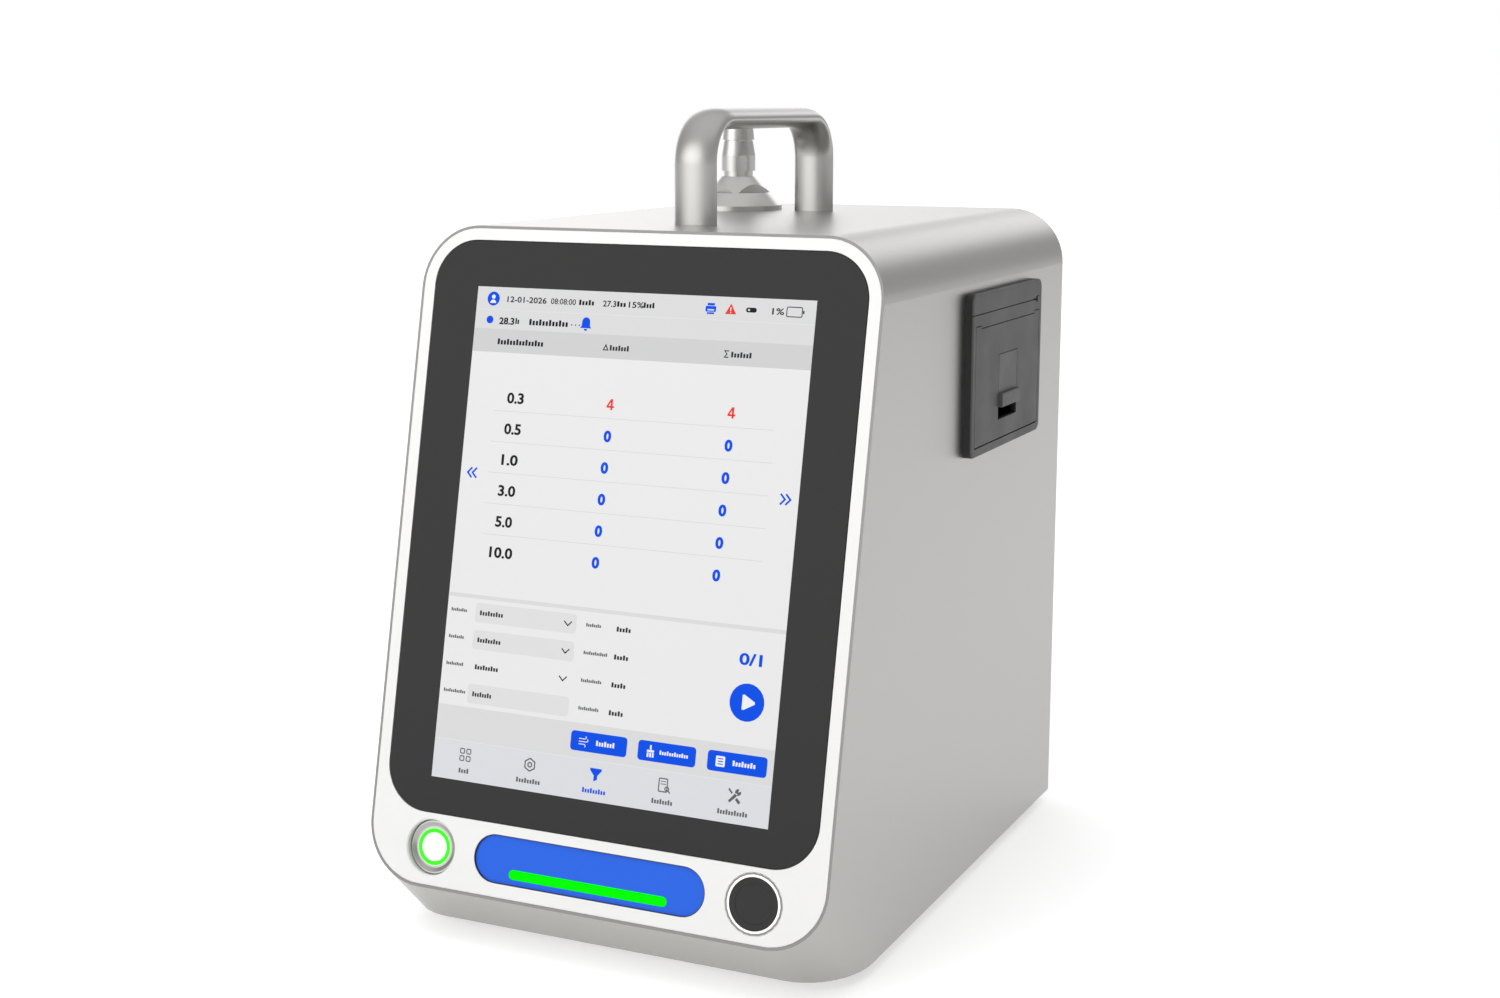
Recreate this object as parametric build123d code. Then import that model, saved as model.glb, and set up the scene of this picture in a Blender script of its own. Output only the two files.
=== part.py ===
from build123d import *

import os
from math import atan2, cos, radians, sin

# ---------------------------------------------------------------------------
# Airborne particle counter. Millimetres and degrees. +X right, +Y back, +Z up.
# The origin is on the standing surface, under the middle of the case.
# ---------------------------------------------------------------------------

# Case sheet metal
CASE_W = 200.0          # across
CASE_D = 278.5          # front edge of the nose to the rear face
CASE_H = 278.0          # underside to roof
NOSE_H = 20.0           # rise of the bevel under the front panel
NOSE_SET = 20.0         # how far that bevel runs back
LEAN = 12.8             # backward lean of the front panel
CORNER_R = 24.5         # roof edges and corners of the front outline
SKIN = 1.0              # case sheet
LIP_W = 14.0            # inturned lips at the bottom and the rear
FIT = 0.2               # gap between sheets that slide into each other

# Base, feet and rear panel
FOOT_H = 5.0            # daylight under the case
FOOT_R = 10.0
FOOT_TAPER = 1.5        # the foot is this much smaller in radius at the floor
FOOT_INSET = 30.0       # foot centre in from the case side
FOOT_BACK = 30.0        # foot centre in from the case's front and rear foot lines
BASE_T = 1.5
BASE_FLANGE = 12.0      # height of the base tray
VENT_W = 3.0            # ventilation slots
VENT_L = 34.0
VENT_PITCH = 7.0
BASE_VENTS = 9
REAR_VENTS = 8
REAR_T = 1.5

# Front panel, its glass and display
PANEL_T = 5.0
PANEL_GAP = 0.1         # panel edge to case sheet
GLASS_SIDE = 6.0        # white border beside the glass
GLASS_LOW = 29.8        # glass above the lowest edge of the front outline
GLASS_TOP = 5.8         # white border above the glass
GLASS_R = 18.4
GLASS_T = 1.8
GLASS_GAP = 0.1
GLASS_EDGE = 0.35       # ground edge
TAPE_T = 0.2            # adhesive under the glass
BORDER_SIDE = 20.5      # black border beside the lit area
BORDER_LOW = 14.4
BORDER_TOP = 18.575
MODULE_RIM = 5.0        # display module beyond its lit area
MODULE_T = 6.0
MODULE_GAP = 0.5        # display module to the panel's window
FRAME_RIM = 6.5         # display frame beyond the module
FRAME_T = 1.5
FRAME_LAP = 13.5        # how far the frame laps behind the module

# Controls, all on one line across the front panel
CONTROL_V = 16.1        # that line, up the slope
BUTTON_IN = 29.2        # button centre in from the case's left side
RECESS_R = 11.0         # pocket that the button sits in
RECESS_SINK = 2.2       # button face below the panel
RECESS_EDGE = 0.5
HEAD_T = 1.4
HEAD_GAP = 0.25
BARREL_R = 9.5
BARREL_L = 16.0
HOLE_GAP = 0.15         # clearance round parts that pass through a panel
DISH_R = 8.3            # inner edge of the button's bevelled rim
LED_R = 7.25            # outside of the lit ring
LED_BAND = 1.4
CAP_GAP = 0.15
BUTTON_TRAVEL = 1.5
CAP_T = 2.0
STEM_R = 2.5
STEM_L = 8.0
LENS_IN = 49.6          # lens ends in from the case sides
LENS_H = 18.9
LENS_SINK = 0.8
LENS_GAP = 0.1
LENS_FLANGE = 2.2
LIGHT_IN = 15.8         # light strip's ends in from the lens's ends
LIGHT_H = 3.8
LIGHT_DROP = 5.2        # light strip below the control line
LIGHT_T = 2.4
READER_IN = 29.5        # reader centre in from the case's right side
READER_R = 11.65
SENSOR_R = 9.95
SENSOR_SINK = 0.25
SENSOR_DISH_R = 7.65
SENSOR_DISH = 0.15

# Carry handle
HANDLE_W = 18.6         # oval section
HANDLE_T = 8.6
HANDLE_BACK = 100.25    # front leg's centre behind the case's front edge
HANDLE_FORE = 58.25     # rear leg's centre in front of the rear face
HANDLE_RISE = 46.0
HANDLE_BEND = 17.7      # centre line of the bends
HANDLE_SCREW_R = 2.5
HANDLE_SCREW_IN = 12.0
STIFFENER_T = 3.0
STIFFENER_W = 28.0

# Sampling inlet
INLET_X = -38.0
INLET_RIM_R = 20.3
INLET_RIM_T = 2.0
INLET_CONE_H = 13.0
INLET_BODY_R = 8.05
INLET_NECK_R = 6.95
INLET_NECK_H = 2.5
INLET_BODY_H = 6.9
INLET_TAPER_H = 6.6
INLET_GROOVE = 0.5
INLET_BARB_R = 7.6
INLET_BARB_H = 5.0
INLET_BORE_R = 4.8
INLET_STEM_R = 8.0
INLET_STEM_H = 12.0
FLAT_R = 11.4           # wrench flats from the axis
FLAT_Z = 7.75           # ledge under the flats
FLAT_TURN = 66.0        # first flat, from the front towards the right
GASKET_T = 1.5
NUT_T = 6.0
NUT_FLATS = 24.0
TUBE_R = 7.0
TUBE_WALL = 1.4
TUBE_BEND_R = 24.0
HOSE_TAIL_R = 5.5       # hose tails inside the case
HOSE_TAIL_H = 11.0

# Panel printer in the right side
PRINTER_FORE = 90.1     # centre in front of the rear face
PRINTER_DROP = 61.6     # centre below the roof
BEZEL_W = 92.2
BEZEL_H = 67.4
BEZEL_T = 4.0
BEZEL_R = 4.0
BEZEL_EDGE = 0.8
BODY_STEP = 3.1         # bezel beyond the body on every side
BODY_DEEP = 44.0
BODY_GAP = 0.2
DOOR_SIDE = 3.75        # bezel beside the door
DOOR_UNDER = 4.0        # bezel under the door
DOOR_OVER = 13.6        # bezel over the door
DOOR_T = 2.5
DOOR_GAP = 0.35
DOOR_STEP = 1.1         # relief along the middle of the door's top edge
DOOR_STEP_W = 6.5
BARREL_HINGE_R = 2.0
DOOR_SWING_R = 2.6      # the door's lower edge, rounded to clear the bezel as it swings
PIN_R = 0.95
PIN_GAP = 0.05
SEAM_DOWN = 8.6         # head-cover seam below the bezel's upper edge
SEAM_W = 0.4
SEAM_DEEP = 1.0
NOTCH_W = 8.0
NOTCH_H = 2.7
NOTCH_END = 4.1         # notch in from the bezel's rear edge
BAY_WALL = 3.0          # body wall beside the paper bay
BAY_R = 16.0
BAY_BACK = 3.0          # rear wall of the paper bay
ROLLER_R = 5.0
ROLLER_SIDE = 4.0       # roller's end to the bay wall
ROLLER_DOWN = 8.3       # roller below the door's upper edge
ROLLER_IN = 7.5         # roller behind the hinge
SHAFT_R = 1.5
SHAFT_GAP = 0.06
EAR_T = 2.5
EAR_R = 3.6
LATCH_W = 24.0
LATCH_H = 22.2
LATCH_UP = 13.4         # latch above the door's lower edge
LATCH_TRAVEL = 5.0
LATCH_GAP = 0.3
LATCH_LIP = 1.9         # finger lip proud of the door
LATCH_LIP_H = 5.7
LATCH_FLANGE = 2.2      # flange beside the latch, behind the door
LATCH_FLANGE_T = 1.2
HEAD_SIDE = 2.0         # thermal head's end in from the roller's end
HEAD_DEEP = 9.0
HEAD_H = 14.0
TEAR_SIDE = 0.5         # tear bar's end in from the roller's end
TEAR_T = 0.5

# Chassis
BRIDGE_DROP = 132.0     # top of the bridge below the roof
BRIDGE_T = 1.5
BRIDGE_BACK = 119.25    # bridge behind the case's front edge
BRIDGE_FORE = 14.25     # bridge in front of the rear face
BRIDGE_SIDE = 3.5       # leg in from the case side
BRIDGE_FOOT = 12.0
SCREW_R = 2.0           # M4
SCREW_IN = 9.0          # screw centre in from the case side
SCREW_GAP = 0.1
SCREW_BACK = 69.25      # first pair of base screws behind the case's front edge
SCREW_STEP = 40.0       # second pair behind the bridge's front edge
SCREW_FORE = 15.0       # third pair in front of the bridge's rear edge

# Optics
BLOCK_W = 72.0
BLOCK_D = 60.0
BLOCK_H = 52.0
BLOCK_R = 4.0
LASER_R = 9.0
LASER_IN = 20.0
LASER_CLEAR = 4.5       # laser's outer end to the outside of the bridge leg
TRAP_R = 12.0
TRAP_L = 14.0
BOARD_T = 1.6

# Blower, in front of the optics, on the base
BLOWER_IN = 62.0        # axis in from the case's left side
SCROLL_R = 28.0         # smallest radius inside the scroll
SCROLL_STEP = 3.5       # growth of each quarter turn
SCROLL_TONGUE = 3.0
SCROLL_WALL = 2.0
SCROLL_INNER_H = 20.0
BLOWER_LEGS = 20.0
MOUTH_AHEAD = 45.0      # scroll mouth behind the blower's axis
WHEEL_R = 24.5
WHEEL_BLADES = 9
WHEEL_BLADE_H = 13.0
WHEEL_BLADE_T = 1.2
HUB_R = 6.5
MOTOR_R = 14.0
AXLE_R = 2.0
AXLE_GAP = 0.08
FILTER_R = 18.0
FILTER_L = 62.0
FILTER_CAP = 8.0
OUTLET_R = 8.0
OUTLET_FLANGE_R = 12.0
OUTLET_OUT = 3.0
OUTLET_L = 22.25        # filter's rear end to the rear face

# Electronics
STANDOFF_R = 2.75
STANDOFF_H = 8.0
MAIN_SIDE = 7.0         # main board's edge in from the display frame's edge
MAIN_H = 110.0
POWER_LEFT = 14.0       # power board's left edge right of the middle
POWER_SIDE = 8.5        # power board's right edge in from the bridge leg
POWER_END = 10.0        # power board's front edge behind the bridge's
POWER_TAIL = 17.0       # power board's rear edge in front of the bridge's
POWER_RISE = 6.0
IO_DEEP = 53.75         # I/O board's front edge to the rear panel
IO_RISE = 12.0
IO_EDGE = 9.0           # board beyond the sockets at its ends
JACK_IN = 22.5          # charging socket in from the bridge leg
JACK_R = 5.5
JACK_BORE_R = 2.75
JACK_BORE_L = 9.0
JACK_PIN_R = 1.0
LAN_LEFT = 21.0         # sockets left of the charging socket
LAN_SIZE = (16.2, 13.6)
USB_LEFTS = (43.0, 62.0)
USB_SIZE = (13.2, 6.0)
BATTERY_LEFT = 20.0     # battery's left side right of the middle
BATTERY_SIDE = 14.5     # battery's right side in from the bridge leg
BATTERY_BACK = 55.25    # battery behind the case's front edge
BATTERY_L = 120.0
BATTERY_H = 42.0
STRAP_W = 20.0
STRAP_T = 1.2

# Cooling fan on the rear panel
FAN_IN = 60.0           # centre in from the case's right side
FAN_DROP = 78.0         # centre below the roof
FAN_SIZE = 60.0
FAN_T = 15.0
FAN_BORE_R = 28.5
FAN_BLADE_R = 27.5
FAN_HUB_R = 12.5
FAN_BLADES = 7
FAN_PIN_R = 1.5
FAN_HOLES = 50.0
GRILLE_RINGS = 4
GRILLE_BAR = 2.2

# ---------------------------------------------------------------------------
# Derived places
# ---------------------------------------------------------------------------
FAR = 2.0 * (CASE_W + CASE_D + CASE_H)
HALF_W = CASE_W / 2
FRONT_Y = -CASE_D / 2
REAR_Y = CASE_D / 2
BASE_Z = FOOT_H
TOP_Z = BASE_Z + CASE_H
FLOOR_Z = BASE_Z + SKIN + BASE_T
LEAN_SIN = sin(radians(LEAN))
LEAN_COS = cos(radians(LEAN))
SLOPE = (CASE_H - NOSE_H) / LEAN_COS
NOSE_DIR = Vector(0, NOSE_SET, -NOSE_H).normalized()
NOSE_TURN = radians(90 - LEAN) + atan2(NOSE_H, NOSE_SET)
PANEL = Plane(
    origin=(0, FRONT_Y, BASE_Z + NOSE_H),
    x_dir=(1, 0, 0),
    z_dir=(0, -LEAN_COS, LEAN_SIN),
)

GLASS_W = CASE_W - 2 * GLASS_SIDE
GLASS_H = SLOPE - GLASS_LOW - GLASS_TOP
GLASS_V = GLASS_LOW + GLASS_H / 2
DISPLAY_W = GLASS_W - 2 * BORDER_SIDE
DISPLAY_H = GLASS_H - BORDER_LOW - BORDER_TOP
DISPLAY_V = GLASS_LOW + BORDER_LOW + DISPLAY_H / 2
MODULE_W = DISPLAY_W + 2 * MODULE_RIM
MODULE_H = DISPLAY_H + 2 * MODULE_RIM
MODULE_BACK = GLASS_T + TAPE_T + MODULE_T
FRAME_BACK = MODULE_BACK + FIT + FRAME_T
FRAME_W = MODULE_W + 2 * FRAME_RIM
FRAME_H = MODULE_H + 2 * FRAME_RIM
MAIN_W = FRAME_W - 2 * MAIN_SIDE

BUTTON_X = BUTTON_IN - HALF_W
READER_X = HALF_W - READER_IN
LENS_W = CASE_W - 2 * LENS_IN
LIGHT_W = LENS_W - 2 * LIGHT_IN
HEAD_BACK = RECESS_SINK + HEAD_T
CAP_R = LED_R - LED_BAND - CAP_GAP
CAP_TOP = -RECESS_SINK - 0.35
LIGHT_V = CONTROL_V - LIGHT_DROP
READER_BACK = PANEL_T + 1.5

HANDLE_FRONT = FRONT_Y + HANDLE_BACK
HANDLE_REAR = REAR_Y - HANDLE_FORE
INLET_Y = HANDLE_REAR
STEM_END = INLET_STEM_H + HOSE_TAIL_H
TAPER_Z = INLET_RIM_T + INLET_CONE_H + INLET_NECK_H + INLET_BODY_H
BARB_Z = TAPER_Z + INLET_TAPER_H + INLET_GROOVE

PRINTER_Y = REAR_Y - PRINTER_FORE
PRINTER_Z = TOP_Z - PRINTER_DROP
BODY_W = BEZEL_W - 2 * BODY_STEP
BODY_H = BEZEL_H - 2 * BODY_STEP
BAY_W = BODY_W - 2 * BAY_WALL
DOOR_W = BEZEL_W - 2 * DOOR_SIDE
DOOR_H = BEZEL_H - DOOR_UNDER - DOOR_OVER
ROLLER_L = BAY_W - 2 * ROLLER_SIDE
HEAD_W = ROLLER_L - 2 * HEAD_SIDE
TEAR_W = ROLLER_L - 2 * TEAR_SIDE
BEZEL_X = HALF_W + BEZEL_T
BEZEL_LOW = PRINTER_Z - BEZEL_H / 2
DOOR_LOW = BEZEL_LOW + DOOR_UNDER
DOOR_HIGH = DOOR_LOW + DOOR_H
HINGE_X = BEZEL_X - BARREL_HINGE_R
HINGE_Z = DOOR_LOW + BARREL_HINGE_R
BAY_LOW = DOOR_LOW + BARREL_HINGE_R + 0.8
BAY_HIGH = DOOR_HIGH
BAY_REAR_X = HALF_W - BODY_DEEP + BAY_BACK
ROLLER_X = HINGE_X - ROLLER_IN
ROLLER_Z = DOOR_HIGH - ROLLER_DOWN
EAR_Y = ROLLER_L / 2 + 0.4
DOOR_BACK_X = BEZEL_X - DOOR_T
LATCH_LOW = DOOR_LOW + LATCH_UP
LATCH_BACK_X = DOOR_BACK_X - LATCH_GAP - LATCH_FLANGE_T

DECK_Z = TOP_Z - BRIDGE_DROP
BRIDGE_FRONT = FRONT_Y + BRIDGE_BACK
BRIDGE_REAR = REAR_Y - BRIDGE_FORE
SCREW_LINES = (FRONT_Y + SCREW_BACK, BRIDGE_FRONT + SCREW_STEP, BRIDGE_REAR - SCREW_FORE)
BLOCK_TOP = DECK_Z + BLOCK_H
LEG_X = HALF_W - BRIDGE_SIDE
SCREW_X = HALF_W - SCREW_IN
SCROLL_Z = FLOOR_Z + BLOWER_LEGS
SCROLL_TOP = SCROLL_Z + SCROLL_WALL + SCROLL_INNER_H
MOUTH_Y = REAR_Y - OUTLET_L - FILTER_L
BLOWER_X = BLOWER_IN - HALF_W
BLOWER_Y = MOUTH_Y - MOUTH_AHEAD
DUCT_LEFT = BLOWER_X - SCROLL_R - 3.5 * SCROLL_STEP
DUCT_RIGHT = BLOWER_X - SCROLL_R + 0.5 * SCROLL_STEP - SCROLL_TONGUE
DUCT_X = (DUCT_LEFT + DUCT_RIGHT) / 2
DUCT_Z = SCROLL_Z + SCROLL_WALL + SCROLL_INNER_H / 2
REAR_FACE = REAR_Y - REAR_T
POWER_X = (POWER_LEFT, LEG_X - POWER_SIDE)
POWER_Y = (BRIDGE_FRONT + POWER_END, BRIDGE_REAR - POWER_TAIL)
BATTERY_X = (BATTERY_LEFT, LEG_X - BATTERY_SIDE)
BATTERY_Y = (FRONT_Y + BATTERY_BACK, FRONT_Y + BATTERY_BACK + BATTERY_L)
IO_Z = FLOOR_Z + IO_RISE
IO_FRONT = REAR_FACE - IO_DEEP
JACK_X = LEG_X - JACK_IN
LAN_X = JACK_X - LAN_LEFT
USB_XS = tuple(JACK_X - left for left in USB_LEFTS)
IO_X = (USB_XS[-1] - IO_EDGE, JACK_X + IO_EDGE)
FAN_X = HALF_W - FAN_IN
FAN_CZ = TOP_Z - FAN_DROP
FAN_FRONT = REAR_FACE - FAN_T


# ---------------------------------------------------------------------------
# Helpers
# ---------------------------------------------------------------------------
def between(x0, x1, y0, y1, z0, z1):
    """A block between two corners."""
    middle = Pos((x0 + x1) / 2, (y0 + y1) / 2, (z0 + z1) / 2)
    return middle * Box(x1 - x0, y1 - y0, z1 - z0)


def post(radius, x, y, z0, z1):
    """An upright cylinder."""
    return Pos(x, y, (z0 + z1) / 2) * Cylinder(radius, z1 - z0)


def bar_x(radius, x0, x1, y, z):
    """A cylinder along X."""
    return Pos((x0 + x1) / 2, y, z) * Rot(0, 90, 0) * Cylinder(radius, x1 - x0)


def bar_y(radius, x, y0, y1, z):
    """A cylinder along Y."""
    return Pos(x, (y0 + y1) / 2, z) * Rot(90, 0, 0) * Cylinder(radius, y1 - y0)


def along_x(sketch, x0, x1):
    """A Y-Z outline made solid from x0 to x1."""
    return extrude(Plane.YZ.offset(x0) * sketch, x1 - x0)


def along_y(sketch, y0, y1):
    """An X-Z outline made solid from y0 to y1."""
    return extrude(Plane.XZ.offset(-y1) * sketch, y1 - y0)


def on_panel(x, v, depth=0.0):
    """A place on the leaning front: across, up the slope and inwards."""
    return PANEL.location * Pos(x, v, -depth)


def panel_solid(sketch, x, v, depth0, depth1):
    """An outline on the front panel made solid between two depths."""
    return extrude(on_panel(x, v, depth1) * sketch, depth1 - depth0)


def turned(*points):
    """A closed profile of (radius, height) points turned about Z."""
    face = make_face(Polyline(*[(r, 0, z) for r, z in points], close=True))
    return revolve(face, Axis.Z)


def hexagon_nut(flats, thick, bore):
    """A hexagon nut, its top face at z = 0."""
    nut = extrude(RegularPolygon(flats / 2, 6, major_radius=False), -thick)
    return nut - Pos(0, 0, -thick / 2) * Cylinder(bore, 2 * thick)


def group(parts):
    """Separate solids of one node."""
    return Compound(children=list(parts))


def envelope(inset, rear=0.0, low=0.0, front=0.0):
    """The case's outer form with sides, roof and nose moved in by inset."""
    half = HALF_W - inset
    radius = CORNER_R - inset
    top = TOP_Z - inset
    foot = BASE_Z + low
    arch = Pos(0, (top + foot) / 2) * Rectangle(2 * half, top - foot)
    arch = fillet(arch.vertices().group_by(Axis.Y)[-1], radius)
    tunnel = along_y(arch, FRONT_Y - FAR / 4, REAR_Y - rear)
    lowest = inset / sin(NOSE_TURN)
    bib = Pos(0, lowest + FAR / 2) * Rectangle(2 * half, FAR)
    bib = fillet(bib.vertices().group_by(Axis.Y)[0], radius)
    bib = Location(NOSE_DIR * (-FAR / 4)) * (PANEL.location * bib)
    nose = extrude(bib, FAR, dir=NOSE_DIR)
    behind = on_panel(0, 0, front) * Box(
        FAR, 2 * FAR, 2 * FAR, align=(Align.CENTER, Align.CENTER, Align.MAX)
    )
    return tunnel & nose & behind


def slots_x(count, width, pitch, length):
    """A column of flat slots, long along X, stacked along Y."""
    span = pitch * (count - 1)
    rows = [Pos(0, i * pitch - span / 2) * SlotOverall(length, width) for i in range(count)]
    return Sketch() + rows


# ---------------------------------------------------------------------------
# Case
# ---------------------------------------------------------------------------
def rear_screw_places():
    """Screw centres on the rear lip, as (x, z)."""
    side = HALF_W - LIP_W / 2 - SKIN / 2
    rows = [BASE_Z + CASE_H * share for share in (0.14, 0.5, 0.86)]
    places = [(s * side, z) for z in rows for s in (-1, 1)]
    top = TOP_Z - LIP_W / 2 - SKIN / 2
    return places + [(s * CASE_W / 4, top) for s in (-1, 1)]


def base_screw_places():
    """Screw centres along the bottom lips, as (x, y)."""
    return [(s * SCREW_X, y) for y in SCREW_LINES for s in (-1, 1)]


def foot_places():
    """Foot centres, as (x, y)."""
    x = HALF_W - FOOT_INSET
    return [(s * x, y) for y in (FRONT_Y + NOSE_SET + FOOT_BACK, REAR_Y - FOOT_BACK) for s in (-1, 1)]


def printer_hole():
    """Outline of the printer's cut-out in the case side."""
    width = BODY_W + 2 * BODY_GAP
    height = BODY_H + 2 * BODY_GAP
    return Pos(PRINTER_Y, PRINTER_Z) * Rectangle(width, height)


def make_case_shell():
    shell = envelope(0) - envelope(SKIN, rear=-FAR / 8, low=-FAR / 8, front=-FAR / 8)
    lip_front = FRONT_Y + NOSE_SET + CORNER_R + 6
    lip_rear = REAR_FACE - SKIN
    for side in (-1, 1):
        outer = side * (HALF_W - SKIN / 2)
        inner = side * (HALF_W - LIP_W)
        low, high = sorted((outer, inner))
        shell += between(low, high, lip_front, lip_rear, BASE_Z, BASE_Z + SKIN)
    ring = envelope(SKIN / 2, rear=REAR_T) - envelope(LIP_W, rear=-FAR / 8, low=-FAR / 8)
    ring &= between(-FAR, FAR, lip_rear, REAR_FACE, -FAR, FAR)
    shell += ring
    shell -= along_x(printer_hole(), HALF_W / 2, HALF_W + SKIN)
    for y in (HANDLE_FRONT, HANDLE_REAR):
        shell -= post(HANDLE_SCREW_R + HOLE_GAP, 0, y, TOP_Z - 5, TOP_Z + 5)
    shell -= post(INLET_STEM_R + HOLE_GAP, INLET_X, INLET_Y, TOP_Z - 5, TOP_Z + 5)
    for x, y in base_screw_places():
        shell -= post(SCREW_R + SCREW_GAP, x, y, BASE_Z - 1, BASE_Z + 2)
    for x, z in rear_screw_places():
        shell -= bar_y(SCREW_R - 0.5 + SCREW_GAP, x, lip_rear - 1, REAR_Y + 1, z)
    return shell


def make_base_plate():
    side = SKIN + FIT
    rear = REAR_T + SKIN + FIT
    tray = envelope(side, rear=rear, low=SKIN)
    tray -= envelope(side + BASE_T, rear=rear + BASE_T, low=SKIN + BASE_T)
    tray &= between(-FAR, FAR, -FAR, FAR, 0, BASE_Z + BASE_FLANGE)
    vents = Plane.XY * Pos(0, -60) * slots_x(BASE_VENTS, VENT_W, VENT_PITCH, VENT_L)
    tray -= extrude(vents, FAR, both=True)
    for x, y in base_screw_places() + foot_places():
        tray -= post(SCREW_R + SCREW_GAP, x, y, 0, BASE_Z + BASE_FLANGE / 2)
    return tray


def grille():
    """Fan grille: rings of curved slots parted by four bars."""
    outline = Sketch()
    step = FAN_BORE_R / (GRILLE_RINGS + 0.5)
    for ring in range(GRILLE_RINGS):
        outer = FAN_BORE_R - ring * step
        outline += Circle(outer) - Circle(outer - step + GRILLE_BAR)
    bars = Rectangle(2 * FAN_BORE_R + 2, GRILLE_BAR) + Rectangle(GRILLE_BAR, 2 * FAN_BORE_R + 2)
    return Rot(0, 0, 45) * (outline - bars)


def make_rear_panel():
    plate = envelope(SKIN + FIT) & between(-FAR, FAR, REAR_FACE, REAR_Y, 0, FAR)
    cuts = Pos(FAN_X, FAN_CZ) * grille()
    for x, z in fan_hole_places():
        cuts += Pos(x, z) * Circle(SCREW_R + SCREW_GAP)
    cuts += Pos(-HALF_W / 2, FAN_CZ) * slots_x(REAR_VENTS, VENT_W, VENT_PITCH, VENT_L)
    cuts += Pos(DUCT_X, DUCT_Z) * Circle(OUTLET_R + HOLE_GAP)
    for x, z in rear_screw_places():
        cuts += Pos(x, z) * Circle(SCREW_R - 0.5 + SCREW_GAP)
    for x, (width, height) in [(LAN_X, LAN_SIZE)] + [(x, USB_SIZE) for x in USB_XS]:
        hole = Rectangle(width + 2 * HOLE_GAP, height + 2 * HOLE_GAP)
        cuts += Pos(x, IO_Z + BOARD_T + height / 2) * hole
    cuts += Pos(JACK_X, IO_Z + BOARD_T + JACK_R) * Circle(JACK_R + HOLE_GAP)
    return plate - along_y(cuts, REAR_FACE - 1, REAR_Y + 1)


def make_rubber_feet():
    top = BASE_Z + SKIN
    foot = turned(
        (SCREW_R + SCREW_GAP, 4),
        (3.6, 4),
        (3.6, 0),
        (FOOT_R - FOOT_TAPER, 0),
        (FOOT_R, top),
        (SCREW_R + SCREW_GAP, top),
    )
    return group(Pos(x, y, 0) * foot for x, y in foot_places())


def machine_screw(head_r, head_t, shank_r, length):
    """A screw pointing up, its head's bearing face at z = 0."""
    return turned(
        (0, -head_t),
        (head_r * 0.7, -head_t),
        (head_r, -head_t * 0.5),
        (head_r, 0),
        (shank_r, 0),
        (shank_r, length),
        (0, length),
    )


def make_foot_screws():
    screw = machine_screw(3.4, 2, SCREW_R, 8)
    return group(Pos(x, y, 4) * screw for x, y in foot_places())


def make_base_screws():
    screw = machine_screw(3.6, 2.2, SCREW_R, 7)
    return group(Pos(x, y, BASE_Z) * screw for x, y in base_screw_places())


def fan_hole_places():
    """Centres of the fan's corner holes, as (x, z)."""
    half = FAN_HOLES / 2
    return [(FAN_X + sx * half, FAN_CZ + sz * half) for sx in (-1, 1) for sz in (-1, 1)]


def make_rear_screws():
    panel_screw = Rot(90, 0, 0) * machine_screw(2.8, 1.8, SCREW_R - 0.5, 5)
    fan_screw = Rot(90, 0, 0) * machine_screw(3.4, 2, SCREW_R, 9)
    screws = [Pos(x, REAR_Y, z) * panel_screw for x, z in rear_screw_places()]
    return group(screws + [Pos(x, REAR_Y, z) * fan_screw for x, z in fan_hole_places()])


# ---------------------------------------------------------------------------
# Front
# ---------------------------------------------------------------------------
def make_front_panel():
    panel = envelope(SKIN + PANEL_GAP) - envelope(0, front=PANEL_T)
    glass = RectangleRounded(GLASS_W + 2 * GLASS_GAP, GLASS_H + 2 * GLASS_GAP, GLASS_R + GLASS_GAP)
    panel -= panel_solid(glass, 0, GLASS_V, -1, GLASS_T + TAPE_T)
    window = Rectangle(MODULE_W + 2 * MODULE_GAP, MODULE_H + 2 * MODULE_GAP)
    panel -= panel_solid(window, 0, DISPLAY_V, 0, PANEL_T + 1)
    panel -= panel_solid(Circle(RECESS_R), BUTTON_X, CONTROL_V, -1, HEAD_BACK)
    bevel = turned((0, 0.01), (RECESS_R + RECESS_EDGE, 0.01), (RECESS_R, -RECESS_EDGE), (0, -RECESS_EDGE))
    panel -= on_panel(BUTTON_X, CONTROL_V) * bevel
    panel -= panel_solid(Circle(BARREL_R + HOLE_GAP), BUTTON_X, CONTROL_V, 0, PANEL_T + 1)
    lens = SlotOverall(LENS_W + 2 * LENS_GAP, LENS_H + 2 * LENS_GAP)
    panel -= panel_solid(lens, 0, CONTROL_V, -1, PANEL_T + 1)
    panel -= panel_solid(Circle(READER_R + HOLE_GAP), READER_X, CONTROL_V, -1, PANEL_T + 1)
    return panel


def make_touch_glass():
    outline = RectangleRounded(GLASS_W, GLASS_H, GLASS_R)
    glass = panel_solid(outline, 0, GLASS_V, 0, GLASS_T)
    front = glass.faces().sort_by(Axis(PANEL.origin, PANEL.z_dir))[-1]
    return chamfer(front.edges(), GLASS_EDGE)


def make_lcd_module():
    front = GLASS_T + TAPE_T
    module = panel_solid(Rectangle(MODULE_W, MODULE_H), 0, DISPLAY_V, front, MODULE_BACK)
    lit = Rectangle(DISPLAY_W, DISPLAY_H)
    return module - panel_solid(lit, 0, DISPLAY_V, front - 1, front + 0.4)


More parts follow.
